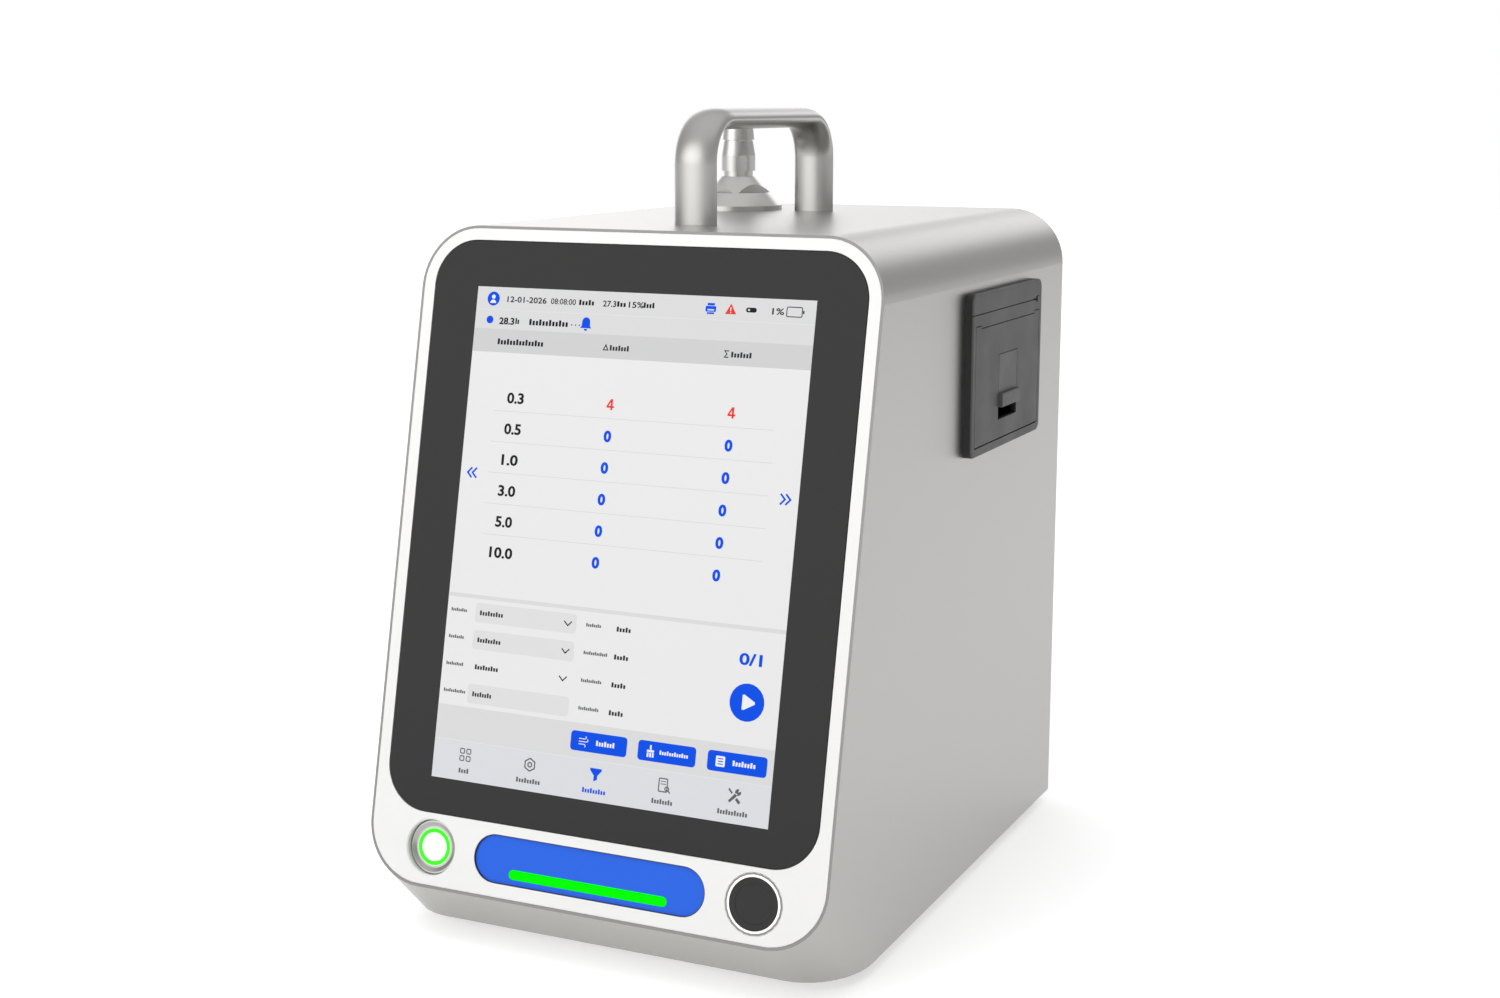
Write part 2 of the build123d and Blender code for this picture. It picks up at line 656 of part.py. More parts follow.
def make_display_frame():
    frame = panel_solid(RectangleRounded(FRAME_W, FRAME_H, 4), 0, DISPLAY_V, PANEL_T, FRAME_BACK)
    inner = RectangleRounded(FRAME_W - 2 * FRAME_T, FRAME_H - 2 * FRAME_T, 2.5)
    frame -= panel_solid(inner, 0, DISPLAY_V, 0, FRAME_BACK - FRAME_T)
    hole = RectangleRounded(MODULE_W - 2 * FRAME_LAP, MODULE_H - 2 * FRAME_LAP, 6)
    return frame - panel_solid(hole, 0, DISPLAY_V, 0, FRAME_BACK + 1)


def standoff_places():
    """Main-board spacer centres on the display frame, as (x, v)."""
    x = MAIN_W / 2 - 6
    return [(sx * x, DISPLAY_V + sv * (MAIN_H / 2 - 6)) for sx in (-1, 1) for sv in (-1, 1)]


def make_board_standoffs():
    stud = Circle(STANDOFF_R)
    deep = FRAME_BACK + STANDOFF_H
    return group(panel_solid(stud, x, v, FRAME_BACK, deep) for x, v in standoff_places())


def make_main_board():
    near = FRAME_BACK + STANDOFF_H
    far = near + BOARD_T
    board = panel_solid(RectangleRounded(MAIN_W, MAIN_H, 3), 0, DISPLAY_V, near, far)
    board += panel_solid(Rectangle(38, 38), -20, DISPLAY_V + 10, far, far + 3)
    for i in range(8):
        fin = Rectangle(1.4, 38)
        board += panel_solid(fin, -20 + (i - 3.5) * 5.2, DISPLAY_V + 10, far, far + 11)
    for x, v, w, h, t in ((42, 30, 30, 8, 6), (42, 8, 24, 12, 3), (50, -28, 30, 20, 4), (-50, -38, 34, 9, 7)):
        board += panel_solid(Rectangle(w, h), x, DISPLAY_V + v, far, far + t)
    return board


def make_status_lens():
    body = panel_solid(SlotOverall(LENS_W, LENS_H), 0, CONTROL_V, LENS_SINK, PANEL_T)
    wide = SlotOverall(LENS_W + 2 * LENS_FLANGE, LENS_H + 2 * LENS_FLANGE)
    body += panel_solid(wide, 0, CONTROL_V, PANEL_T, PANEL_T + 1.2)
    groove = SlotOverall(LIGHT_W + 0.1, LIGHT_H + 0.1)
    return body - panel_solid(groove, 0, LIGHT_V, 0, LENS_SINK + LIGHT_T)


def make_status_light_bar():
    return panel_solid(SlotOverall(LIGHT_W, LIGHT_H), 0, LIGHT_V, LENS_SINK, LENS_SINK + LIGHT_T)


def make_power_button_housing():
    rim = RECESS_R - HEAD_GAP
    floor = -RECESS_SINK - BARREL_L
    bore = LED_R + 0.05
    seat = CAP_TOP - CAP_T - BUTTON_TRAVEL - 0.2
    blind = CAP_TOP - STEM_L - BUTTON_TRAVEL - 0.5
    body = turned(
        (0, floor),
        (BARREL_R, floor),
        (BARREL_R, -HEAD_BACK),
        (rim, -HEAD_BACK),
        (rim, -RECESS_SINK - 0.3),
        (rim - 0.3, -RECESS_SINK),
        (rim - 0.9, -RECESS_SINK),
        (DISH_R, -RECESS_SINK - 0.75),
        (bore, -RECESS_SINK - 0.75),
        (bore, seat),
        (STEM_R + 0.3, seat),
        (STEM_R + 0.3, blind),
        (0, blind),
    )
    return on_panel(BUTTON_X, CONTROL_V) * body


def make_power_button_led_ring():
    inner = LED_R - LED_BAND
    top = -RECESS_SINK - 0.45
    ring = turned((inner, -RECESS_SINK - 2), (LED_R, -RECESS_SINK - 2), (LED_R, top), (inner, top))
    return on_panel(BUTTON_X, CONTROL_V) * ring


def make_power_button_cap():
    foot = CAP_TOP - STEM_L
    cap = turned(
        (0, foot),
        (STEM_R, foot),
        (STEM_R, CAP_TOP - CAP_T),
        (CAP_R, CAP_TOP - CAP_T),
        (CAP_R, CAP_TOP - 0.25),
        (CAP_R - 0.25, CAP_TOP),
        (0, CAP_TOP),
    )
    return on_panel(BUTTON_X, CONTROL_V) * cap


def make_power_button_nut():
    nut = hexagon_nut(24, 4, BARREL_R + 0.05)
    return on_panel(BUTTON_X, CONTROL_V, PANEL_T) * nut


def make_fingerprint_bezel():
    ring = turned(
        (SENSOR_R + 0.05, 0),
        (READER_R, 0),
        (READER_R, -PANEL_T),
        (READER_R + 2, -PANEL_T),
        (READER_R + 2, -READER_BACK),
        (SENSOR_R + 0.05, -READER_BACK),
    )
    return on_panel(READER_X, CONTROL_V) * ring


def make_fingerprint_sensor():
    disc = turned(
        (0, -READER_BACK),
        (SENSOR_R, -READER_BACK),
        (SENSOR_R, -SENSOR_SINK),
        (SENSOR_DISH_R, -SENSOR_SINK),
        (SENSOR_DISH_R - SENSOR_DISH, -SENSOR_SINK - SENSOR_DISH),
        (0, -SENSOR_SINK - SENSOR_DISH),
    )
    return on_panel(READER_X, CONTROL_V) * disc


# ---------------------------------------------------------------------------
# Roof: handle and inlet
# ---------------------------------------------------------------------------
def make_carry_handle():
    high = TOP_Z + HANDLE_RISE - HANDLE_T / 2
    route = FilletPolyline(
        (0, HANDLE_FRONT, TOP_Z),
        (0, HANDLE_FRONT, high),
        (0, HANDLE_REAR, high),
        (0, HANDLE_REAR, TOP_Z),
        radius=HANDLE_BEND,
    )
    start = Plane(origin=route @ 0, x_dir=(1, 0, 0), z_dir=route % 0)
    handle = sweep(start * Ellipse(HANDLE_W / 2, HANDLE_T / 2), path=route)
    for y in (HANDLE_FRONT, HANDLE_REAR):
        handle -= post(HANDLE_SCREW_R + 0.05, 0, y, TOP_Z - 1, TOP_Z + HANDLE_SCREW_IN)
    return handle


def make_handle_stiffener():
    top = TOP_Z - SKIN
    reach = STIFFENER_W / 2
    bar = between(-reach, reach, HANDLE_FRONT - reach, HANDLE_REAR + reach, top - STIFFENER_T, top)
    bar = fillet(bar.edges().filter_by(Axis.Z), 5)
    for y in (HANDLE_FRONT, HANDLE_REAR):
        bar -= post(HANDLE_SCREW_R + HOLE_GAP, 0, y, top - 5, top + 1)
    return bar


def make_handle_screws():
    bearing = TOP_Z - SKIN - STIFFENER_T
    length = SKIN + STIFFENER_T + HANDLE_SCREW_IN - 1
    screw = machine_screw(4.5, 2.8, HANDLE_SCREW_R, length)
    return group(Pos(0, y, bearing) * screw for y in (HANDLE_FRONT, HANDLE_REAR))


def make_inlet_nozzle():
    cone_top = INLET_RIM_T + INLET_CONE_H
    neck_top = cone_top + INLET_NECK_H
    body = turned(
        (INLET_BORE_R - 1, -STEM_END),
        (HOSE_TAIL_R - 0.5, -STEM_END),
        (HOSE_TAIL_R, -STEM_END + 2),
        (HOSE_TAIL_R, -INLET_STEM_H),
        (INLET_STEM_R, -INLET_STEM_H),
        (INLET_STEM_R, 0),
        (INLET_RIM_R, 0),
        (INLET_RIM_R, INLET_RIM_T),
        (INLET_BODY_R, cone_top),
        (INLET_NECK_R, cone_top),
        (INLET_NECK_R, neck_top),
        (INLET_BODY_R, neck_top),
        (INLET_BODY_R, TAPER_Z),
        (INLET_NECK_R, TAPER_Z + INLET_TAPER_H),
        (INLET_NECK_R - 0.35, TAPER_Z + INLET_TAPER_H),
        (INLET_NECK_R - 0.35, BARB_Z),
        (INLET_BARB_R, BARB_Z),
        (INLET_BARB_R - 0.5, BARB_Z + INLET_BARB_H),
        (INLET_BORE_R + 0.6, BARB_Z + INLET_BARB_H),
        (INLET_BORE_R, BARB_Z + INLET_BARB_H - 1),
        (INLET_BORE_R, 0),
        (INLET_BORE_R - 1, -4),
    )
    deep = INLET_RIM_R
    wedge = between(-deep, deep, -FLAT_R - deep, -FLAT_R, FLAT_Z, cone_top)
    for quarter in range(4):
        body -= Rot(0, 0, FLAT_TURN + 90 * quarter) * wedge
    return Pos(INLET_X, INLET_Y, TOP_Z) * body


def make_inlet_gasket():
    top = -SKIN
    inner = INLET_STEM_R + HOLE_GAP
    ring = turned((inner, top - GASKET_T), (14, top - GASKET_T), (14, top), (inner, top))
    return Pos(INLET_X, INLET_Y, TOP_Z) * ring


def make_inlet_nut():
    nut = hexagon_nut(NUT_FLATS, NUT_T, INLET_STEM_R + 0.05)
    return Pos(INLET_X, INLET_Y, TOP_Z - SKIN - GASKET_T) * nut


def make_sample_tube():
    high = TOP_Z - INLET_STEM_H - 0.3
    low = BLOCK_TOP + 0.3
    tube = post(TUBE_R, INLET_X, INLET_Y, low, high)
    return tube - post(TUBE_R - TUBE_WALL, INLET_X, INLET_Y, low - 1, high + 1)


# ---------------------------------------------------------------------------
# Panel printer
# ---------------------------------------------------------------------------
def door_outline(grow):
    """The door's face, its upper edge relieved between the end steps."""
    width = DOOR_W + 2 * grow
    outline = Pos(0, DOOR_H / 2) * Rectangle(width, DOOR_H + 2 * grow)
    relief = Pos(0, DOOR_H + grow) * Rectangle(DOOR_W - 2 * DOOR_STEP_W - 2 * grow, 2 * DOOR_STEP)
    return Pos(PRINTER_Y, DOOR_LOW) * (outline - relief)


def hinge_line(radius, y0, y1):
    """A cylinder on the door's hinge line."""
    return bar_y(radius, HINGE_X, y0, y1, HINGE_Z)


def make_printer_housing():
    bezel = Pos(PRINTER_Y, PRINTER_Z) * RectangleRounded(BEZEL_W, BEZEL_H, BEZEL_R)
    body = along_x(bezel, HALF_W, BEZEL_X)
    body = fillet(body.faces().sort_by(Axis.X)[-1].edges(), BEZEL_EDGE)
    box = Pos(PRINTER_Y, PRINTER_Z) * RectangleRounded(BODY_W, BODY_H, 2)
    body += along_x(box, HALF_W - BODY_DEEP, HALF_W)
    body -= along_x(door_outline(DOOR_GAP), DOOR_BACK_X - DOOR_GAP, BEZEL_X + 1)
    bay = Pos((BAY_REAR_X + BEZEL_X - 1) / 2, (BAY_LOW + BAY_HIGH) / 2)
    bay *= Rectangle(BEZEL_X - 1 - BAY_REAR_X, BAY_HIGH - BAY_LOW)
    bay = fillet(bay.vertices().group_by(Axis.X)[0].sort_by(Axis.Y)[0], BAY_R)
    half = BAY_W / 2
    hollow = along_y(bay, PRINTER_Y - half, PRINTER_Y + half)
    body -= hollow & between(0, DOOR_BACK_X, -FAR, FAR, 0, FAR)
    door_half = DOOR_W / 2 + DOOR_GAP
    body -= hinge_line(DOOR_SWING_R + DOOR_GAP, PRINTER_Y - door_half, PRINTER_Y + door_half)
    knuckle = DOOR_W / 2 + 2.6
    body -= hinge_line(PIN_R, PRINTER_Y - knuckle, PRINTER_Y + knuckle)
    seam_z = BEZEL_LOW + BEZEL_H - SEAM_DOWN
    notch_rear = PRINTER_Y + BEZEL_W / 2 - NOTCH_END
    seam_front = PRINTER_Y - BEZEL_W / 2 - 1
    seam = (seam_front, notch_rear - NOTCH_W)
    body -= between(BEZEL_X - SEAM_DEEP, BEZEL_X + 1, *seam, seam_z - SEAM_W / 2, seam_z + SEAM_W / 2)
    step = NOTCH_W / 4
    low = seam_z - 1.3
    notch = (
        Pos(notch_rear - NOTCH_W + step, seam_z) * Rectangle(2 * step, SEAM_W * 2)
        + Pos(notch_rear - 2 * step + step / 2, low + NOTCH_H / 2) * Rectangle(step, NOTCH_H)
        + Pos(notch_rear - step, low + NOTCH_H - SEAM_W / 2) * Rectangle(2 * step, SEAM_W)
    )
    return body - along_x(notch, BEZEL_X - 2 * SEAM_DEEP, BEZEL_X + 1)


def make_printer_hinge_pin():
    reach = DOOR_W / 2 + 2.5
    return hinge_line(PIN_R - 0.02, PRINTER_Y - reach, PRINTER_Y + reach)


def make_printer_door():
    plate = along_x(door_outline(0), DOOR_BACK_X, BEZEL_X)
    half = DOOR_W / 2
    edge = plate & hinge_line(DOOR_SWING_R, PRINTER_Y - half, PRINTER_Y + half)
    door = plate - between(0, FAR, -FAR, FAR, 0, HINGE_Z)
    door += edge
    door += hinge_line(BARREL_HINGE_R, PRINTER_Y - half, PRINTER_Y + half)
    window_w = LATCH_W + 2 * LATCH_GAP
    window_low = LATCH_LOW - LATCH_TRAVEL - LATCH_GAP
    window_high = LATCH_LOW + LATCH_H + LATCH_GAP
    window = (PRINTER_Y - window_w / 2, PRINTER_Y + window_w / 2, window_low, window_high)
    door -= between(DOOR_BACK_X - 1, BEZEL_X + 1, *window)
    for side in (-1, 1):
        ear = Pos(ROLLER_X, ROLLER_Z) * Circle(EAR_R)
        arm_x = (ROLLER_X + DOOR_BACK_X + 0.2) / 2
        ear += Pos(arm_x, ROLLER_Z) * Rectangle(DOOR_BACK_X + 0.2 - ROLLER_X, 2 * EAR_R)
        near = PRINTER_Y + side * EAR_Y
        low, high = sorted((near, near + side * EAR_T))
        door += along_y(ear, low, high)
    reach = EAR_Y + EAR_T + 1
    door -= bar_y(SHAFT_R + SHAFT_GAP, ROLLER_X, PRINTER_Y - reach, PRINTER_Y + reach, ROLLER_Z)
    return door - hinge_line(PIN_R + PIN_GAP, PRINTER_Y - half - 1, PRINTER_Y + half + 1)


def make_printer_latch():
    near = PRINTER_Y - LATCH_W / 2
    far = PRINTER_Y + LATCH_W / 2
    latch = between(LATCH_BACK_X, BEZEL_X, near, far, LATCH_LOW, LATCH_LOW + LATCH_H)
    flange_x = (LATCH_BACK_X, LATCH_BACK_X + LATCH_FLANGE_T)
    flange_y = (near - LATCH_FLANGE, far + LATCH_FLANGE)
    latch += between(*flange_x, *flange_y, LATCH_LOW, LATCH_LOW + LATCH_H)
    tongue = LATCH_W / 4
    tongue_y = (PRINTER_Y - tongue, PRINTER_Y + tongue)
    latch += between(*flange_x, *tongue_y, LATCH_LOW + LATCH_H - 1, DOOR_HIGH - 1.6)
    lip = between(BEZEL_X - 0.5, BEZEL_X + LATCH_LIP, near, far, LATCH_LOW, LATCH_LOW + LATCH_LIP_H)
    lip = chamfer(lip.faces().sort_by(Axis.X)[-1].edges(), 0.3)
    return latch + lip


def make_platen_roller():
    half = ROLLER_L / 2
    span = (PRINTER_Y - half, PRINTER_Y + half)
    roller = bar_y(ROLLER_R, ROLLER_X, *span, ROLLER_Z)
    return roller - bar_y(SHAFT_R + 0.02, ROLLER_X, span[0] - 1, span[1] + 1, ROLLER_Z)


def make_platen_shaft():
    half = EAR_Y + EAR_T
    return bar_y(SHAFT_R, ROLLER_X, PRINTER_Y - half, PRINTER_Y + half, ROLLER_Z)


def make_thermal_head():
    front = ROLLER_X - ROLLER_R - DOOR_GAP
    span = (PRINTER_Y - HEAD_W / 2, PRINTER_Y + HEAD_W / 2)
    head = between(front - 2, front, *span, BAY_HIGH - HEAD_H, BAY_HIGH)
    return head + between(front - HEAD_DEEP, front - 2, *span, BAY_HIGH - 3, BAY_HIGH)


def make_tear_bar():
    front = DOOR_BACK_X
    span = (PRINTER_Y - TEAR_W / 2, PRINTER_Y + TEAR_W / 2)
    return between(front - TEAR_T, front, *span, BAY_HIGH - 0.9, BAY_HIGH)


# ---------------------------------------------------------------------------
# Chassis, optics and air path
# ---------------------------------------------------------------------------
def make_chassis_bridge():
    span = (BRIDGE_FRONT, BRIDGE_REAR)
    profile = Pos(0, (FLOOR_Z + DECK_Z) / 2) * Rectangle(2 * LEG_X, DECK_Z - FLOOR_Z)
    inner_x = LEG_X - BRIDGE_T
    inner_top = DECK_Z - BRIDGE_T
    profile -= Pos(0, (inner_top + FLOOR_Z + BRIDGE_T) / 2) * Rectangle(
        2 * inner_x, inner_top - FLOOR_Z - BRIDGE_T
    )
    foot_gap = LEG_X - BRIDGE_FOOT
    profile -= Pos(0, FLOOR_Z) * Rectangle(2 * foot_gap, 4 * BRIDGE_T)
    bridge = along_y(profile, *span)
    for x, y in base_screw_places():
        bridge -= post(SCREW_R + SCREW_GAP, x, y, BASE_Z, FLOOR_Z + 2 * BRIDGE_T)
    bridge -= post(HOSE_TAIL_R + 1, INLET_X, INLET_Y, DECK_Z - 5, DECK_Z + 5)
    window = Pos((BRIDGE_FRONT + BRIDGE_REAR) / 2, (FLOOR_Z + DECK_Z) / 2) * SlotOverall(90, 60)
    return bridge - along_x(window, -HALF_W, HALF_W)


def make_optical_sensor_block():
    x0 = INLET_X - BLOCK_W / 2
    x1 = INLET_X + BLOCK_W / 2
    block = between(x0, x1, INLET_Y - BLOCK_D / 2, INLET_Y + BLOCK_D / 2, DECK_Z, BLOCK_TOP)
    block = fillet(block.edges().filter_by(Axis.Z), BLOCK_R)
    middle = (DECK_Z + BLOCK_TOP) / 2
    block += bar_x(TRAP_R, x1 - 1, x1 + TRAP_L, INLET_Y, middle)
    block += post(HOSE_TAIL_R, INLET_X, INLET_Y, DECK_Z - BRIDGE_T - HOSE_TAIL_H, DECK_Z)
    block += post(HOSE_TAIL_R, INLET_X, INLET_Y, BLOCK_TOP, BLOCK_TOP + HOSE_TAIL_H)
    block -= bar_x(LASER_R + 0.05, x0 - 1, x0 + LASER_IN, INLET_Y, middle)
    return block - post(HOSE_TAIL_R - 1.6, INLET_X, INLET_Y, DECK_Z - 40, BLOCK_TOP + 40)


def make_laser_module():
    x0 = INLET_X - BLOCK_W / 2
    middle = (DECK_Z + BLOCK_TOP) / 2
    out = LASER_CLEAR - LEG_X
    laser = bar_x(LASER_R, out, x0 + LASER_IN, INLET_Y, middle)
    return laser + bar_x(LASER_R + 3, x0 - 3, x0, INLET_Y, middle)


def make_detector_board():
    face = INLET_Y - BLOCK_D / 2
    middle = (DECK_Z + BLOCK_TOP) / 2
    board = between(INLET_X - 25, INLET_X + 25, face - BOARD_T, face, middle - 18, middle + 18)
    can = between(INLET_X - 11, INLET_X + 11, face - BOARD_T - 5, face - BOARD_T, middle - 9, middle + 9)
    return board + can


def make_suction_tube():
    high = DECK_Z - BRIDGE_T - 0.3
    low = SCROLL_TOP + SCROLL_WALL + 0.3
    level = (high + low) / 2
    route = FilletPolyline(
        (INLET_X, INLET_Y, high),
        (INLET_X, INLET_Y, level),
        (BLOWER_X, BLOWER_Y, level),
        (BLOWER_X, BLOWER_Y, low),
        radius=min(TUBE_BEND_R, high - level - HOSE_TAIL_H),
    )
    ring = Circle(TUBE_R) - Circle(TUBE_R - TUBE_WALL)
    start = Plane(origin=route @ 0, x_dir=(1, 0, 0), z_dir=route % 0)
    return sweep(start * ring, path=route)


def scroll(grow):
    """The blower scroll: four quarter arcs of growing radius and its duct."""
    step = SCROLL_STEP
    radius = SCROLL_R + grow
    half = step / 2
    spiral = make_face(
        [
            CenterArc((half, half), radius, 180, -90),
            CenterArc((half, -half), radius + step, 90, -90),
            CenterArc((-half, -half), radius + 2 * step, 0, -90),
            CenterArc((-half, half), radius + 3 * step, 270, -90),
            Line((-half - radius - 3 * step, half), (half - radius, half)),
        ]
    )
    left = DUCT_LEFT - BLOWER_X - grow
    right = DUCT_RIGHT - BLOWER_X + grow
    duct = Pos((left + right) / 2, MOUTH_AHEAD / 2) * Rectangle(right - left, MOUTH_AHEAD)
    return spiral + duct


def make_blower_housing():
    body = extrude(scroll(SCROLL_WALL), SCROLL_WALL + SCROLL_INNER_H)
    body -= Pos(0, 0, SCROLL_WALL) * extrude(scroll(0), SCROLL_INNER_H + 1)
    for turn in (20, 140, 260):
        body += Rot(0, 0, turn) * Pos(SCROLL_R - 4, 0, -BLOWER_LEGS / 2) * Cylinder(3.5, BLOWER_LEGS)
    body -= Cylinder(AXLE_R + 0.5, 10)
    return Pos(BLOWER_X, BLOWER_Y, SCROLL_Z) * body


def make_blower_cover():
    lid = extrude(scroll(SCROLL_WALL), SCROLL_WALL)
    lid += Pos(0, 0, SCROLL_WALL + HOSE_TAIL_H / 2) * Cylinder(HOSE_TAIL_R, HOSE_TAIL_H)
    lid -= Cylinder(HOSE_TAIL_R - 1.2, 4 * HOSE_TAIL_H)
    return Pos(BLOWER_X, BLOWER_Y, SCROLL_TOP) * lid


def make_blower_motor():
    can = post(MOTOR_R, BLOWER_X, BLOWER_Y, FLOOR_Z, SCROLL_Z)
    can = chamfer(can.edges().group_by(Axis.Z)[0], 1.5)
    return can - post(AXLE_R + AXLE_GAP, BLOWER_X, BLOWER_Y, FLOOR_Z + 3, SCROLL_Z + 1)


def make_blower_impeller():
    plate = Pos(0, 0, 0.75) * Cylinder(WHEEL_R, 1.5)
    plate += Pos(0, 0, 5) * Cylinder(HUB_R, 10)
    tip = (WHEEL_R - 0.2) * 0.995
    blade = SagittaArc((HUB_R - 0.5, 0), (tip * cos(radians(-38)), tip * sin(radians(-38))), 3.2)
    outline = trace(blade, WHEEL_BLADE_T)
    vane = extrude(outline, 1.5 + WHEEL_BLADE_H)
    vane &= Pos(0, 0, 8) * Cylinder(WHEEL_R - 0.2, 40)
    for i in range(WHEEL_BLADES):
        plate += Rot(0, 0, 360 * i / WHEEL_BLADES) * vane
    plate -= Cylinder(AXLE_R + 0.02, 60)
    return Pos(BLOWER_X, BLOWER_Y, SCROLL_Z + SCROLL_WALL + 2) * plate


def make_blower_axle():
    return post(AXLE_R, BLOWER_X, BLOWER_Y, FLOOR_Z + 3.2, SCROLL_Z + SCROLL_WALL + 12)


def make_hepa_filter():
    rear = MOUTH_Y + FILTER_L
    body = bar_y(FILTER_R - 1.5, DUCT_X, MOUTH_Y, rear, DUCT_Z)
    body += bar_y(FILTER_R, DUCT_X, MOUTH_Y, MOUTH_Y + FILTER_CAP, DUCT_Z)
    body += bar_y(FILTER_R, DUCT_X, rear - FILTER_CAP, rear, DUCT_Z)
    body -= bar_y(5, DUCT_X, MOUTH_Y - 1, MOUTH_Y + FILTER_CAP / 2, DUCT_Z)
    return body - bar_y(OUTLET_R + 0.1, DUCT_X, rear - FILTER_CAP / 2, rear + 1, DUCT_Z)


def make_filter_saddle():
    middle = MOUTH_Y + FILTER_L / 2
    block = between(DUCT_X - 11, DUCT_X + 11, middle - 8, middle + 8, FLOOR_Z, DUCT_Z - 8)
    return block - bar_y(FILTER_R - 1.5 + 0.2, DUCT_X, middle - 9, middle + 9, DUCT_Z)


def make_exhaust_fitting():
    start = MOUTH_Y + FILTER_L - FILTER_CAP / 2
    body = bar_y(OUTLET_R, DUCT_X, start, REAR_Y, DUCT_Z)
    flange = bar_y(OUTLET_FLANGE_R, DUCT_X, REAR_Y, REAR_Y + OUTLET_OUT, DUCT_Z)
    body += chamfer(flange.edges().group_by(Axis.Y)[-1], 0.8)
    body -= bar_y(OUTLET_R - 2, DUCT_X, start - 1, REAR_Y, DUCT_Z)
    slot = Pos(DUCT_X, DUCT_Z) * slots_x(3, 2, 4, 10)
    return body - along_y(slot, REAR_Y - 1, REAR_Y + OUTLET_OUT + 1)


# ---------------------------------------------------------------------------
# Electronics and power
# ---------------------------------------------------------------------------
def pillars(xs, ys, z0, z1):
    """Four board spacers at the corners of a rectangle."""
    return group(post(STANDOFF_R, x, y, z0, z1) for x in xs for y in ys)


def make_power_standoffs():
    xs = (POWER_X[0] + 5, POWER_X[1] - 5)
    ys = (POWER_Y[0] + 5, POWER_Y[1] - 5)
    return pillars(xs, ys, DECK_Z, DECK_Z + POWER_RISE)


def make_power_board():
    low = DECK_Z + POWER_RISE
    top = low + BOARD_T
    seat = top - 0.1
    front, rear = POWER_Y
    length = rear - front
    middle = sum(POWER_X) / 2
    board = between(*POWER_X, front, rear, low, top)
    coil = (front + 0.25 * length, front + 0.52 * length)
    board += between(middle - 16, middle + 14, *coil, seat, top + 20)
    for share in (0.08, 0.64, 0.78):
        board += post(6.5, middle - 18, front + share * length, seat, top + 18)
    cooler = (front + 0.61 * length, front + 0.93 * length)
    return board + between(middle + 8, middle + 11, *cooler, seat, top + 22)


def make_io_standoffs():
    xs = (IO_X[0] + 5, IO_X[1] - 5)
    ys = (IO_FRONT + 5, REAR_FACE - 12)
    return pillars(xs, ys, FLOOR_Z, IO_Z)


def make_io_board():
    board = between(*IO_X, IO_FRONT, REAR_FACE - 3, IO_Z, IO_Z + BOARD_T)
    return board + between(20, 50, IO_FRONT + 6, IO_FRONT + 18, IO_Z + 1, IO_Z + BOARD_T + 5)


def socket(x, width, height, deep, mouth_w, mouth_h, mouth_deep):
    """A rectangular socket on the I/O board with its mouth in the rear face."""
    low = IO_Z + BOARD_T
    body = between(x - width / 2, x + width / 2, REAR_Y - deep, REAR_Y, low, low + height)
    middle = low + height / 2
    mouth = (x - mouth_w / 2, x + mouth_w / 2, REAR_Y - mouth_deep, REAR_Y + 1)
    return body - between(*mouth, middle - mouth_h / 2, middle + mouth_h / 2)


def make_lan_port():
    return socket(LAN_X, *LAN_SIZE, 21, 12, 8, 14)


def make_usb_ports():
    ports = []
    tongue_z = IO_Z + BOARD_T + USB_SIZE[1] / 2
    for x in USB_XS:
        port = socket(x, *USB_SIZE, 14, 12, 4.6, 10)
        port += between(x - 5.6, x + 5.6, REAR_Y - 10.5, REAR_Y - 1, tongue_z - 0.4, tongue_z + 1.2)
        ports.append(port)
    return group(ports)


def make_dc_jack():
    z = IO_Z + BOARD_T + JACK_R
    jack = bar_y(JACK_R, JACK_X, REAR_Y - 13, REAR_Y, z)
    foot = between(JACK_X - 4, JACK_X + 4, REAR_Y - 13, REAR_FACE - 1, IO_Z + BOARD_T, z)
    jack += foot
    jack -= bar_y(JACK_BORE_R, JACK_X, REAR_Y - JACK_BORE_L, REAR_Y + 1, z)
    return jack + bar_y(JACK_PIN_R, JACK_X, REAR_Y - JACK_BORE_L - 0.5, REAR_Y - 1.5, z)


def make_battery_pack():
    pack = between(*BATTERY_X, *BATTERY_Y, FLOOR_Z, FLOOR_Z + BATTERY_H)
    return fillet(pack.edges().filter_by(Axis.Y), 5)


def make_battery_bracket():
    middle = sum(BATTERY_Y) / 2
    span = (middle - STRAP_W / 2, middle + STRAP_W / 2)
    x0 = BATTERY_X[0] - FIT
    x1 = BATTERY_X[1] + FIT
    top = FLOOR_Z + BATTERY_H + FIT
    strap = between(x0 - STRAP_T, x1 + STRAP_T, *span, FLOOR_Z, top + STRAP_T)
    strap -= between(x0, x1, span[0] - 1, span[1] + 1, FLOOR_Z - 1, top)
    return strap + between(x0 - 10, x0 - STRAP_T / 2, *span, FLOOR_Z, FLOOR_Z + STRAP_T)


# ---------------------------------------------------------------------------
# Cooling fan
# ---------------------------------------------------------------------------
def make_cooling_fan_frame():
    place = Pos(FAN_X, FAN_CZ)
    outline = place * (RectangleRounded(FAN_SIZE, FAN_SIZE, 5) - Circle(FAN_BORE_R))
    for x, z in fan_hole_places():
        outline -= Pos(x, z) * Circle(SCREW_R + SCREW_GAP)
    frame = along_y(outline, FAN_FRONT, REAR_FACE)
    hub = Circle(FAN_HUB_R - 1)
    for turn in (45, 135, 225, 315):
        hub += Rot(0, 0, turn) * Pos(FAN_BORE_R / 2 + 0.5, 0) * Rectangle(FAN_BORE_R, 3)
    hub = hub & Circle(FAN_BORE_R + 0.5)
    frame += along_y(place * hub, FAN_FRONT, FAN_FRONT + 2.5)
    return frame - bar_y(FAN_PIN_R + AXLE_GAP, FAN_X, FAN_FRONT - 1, REAR_Y, FAN_CZ)


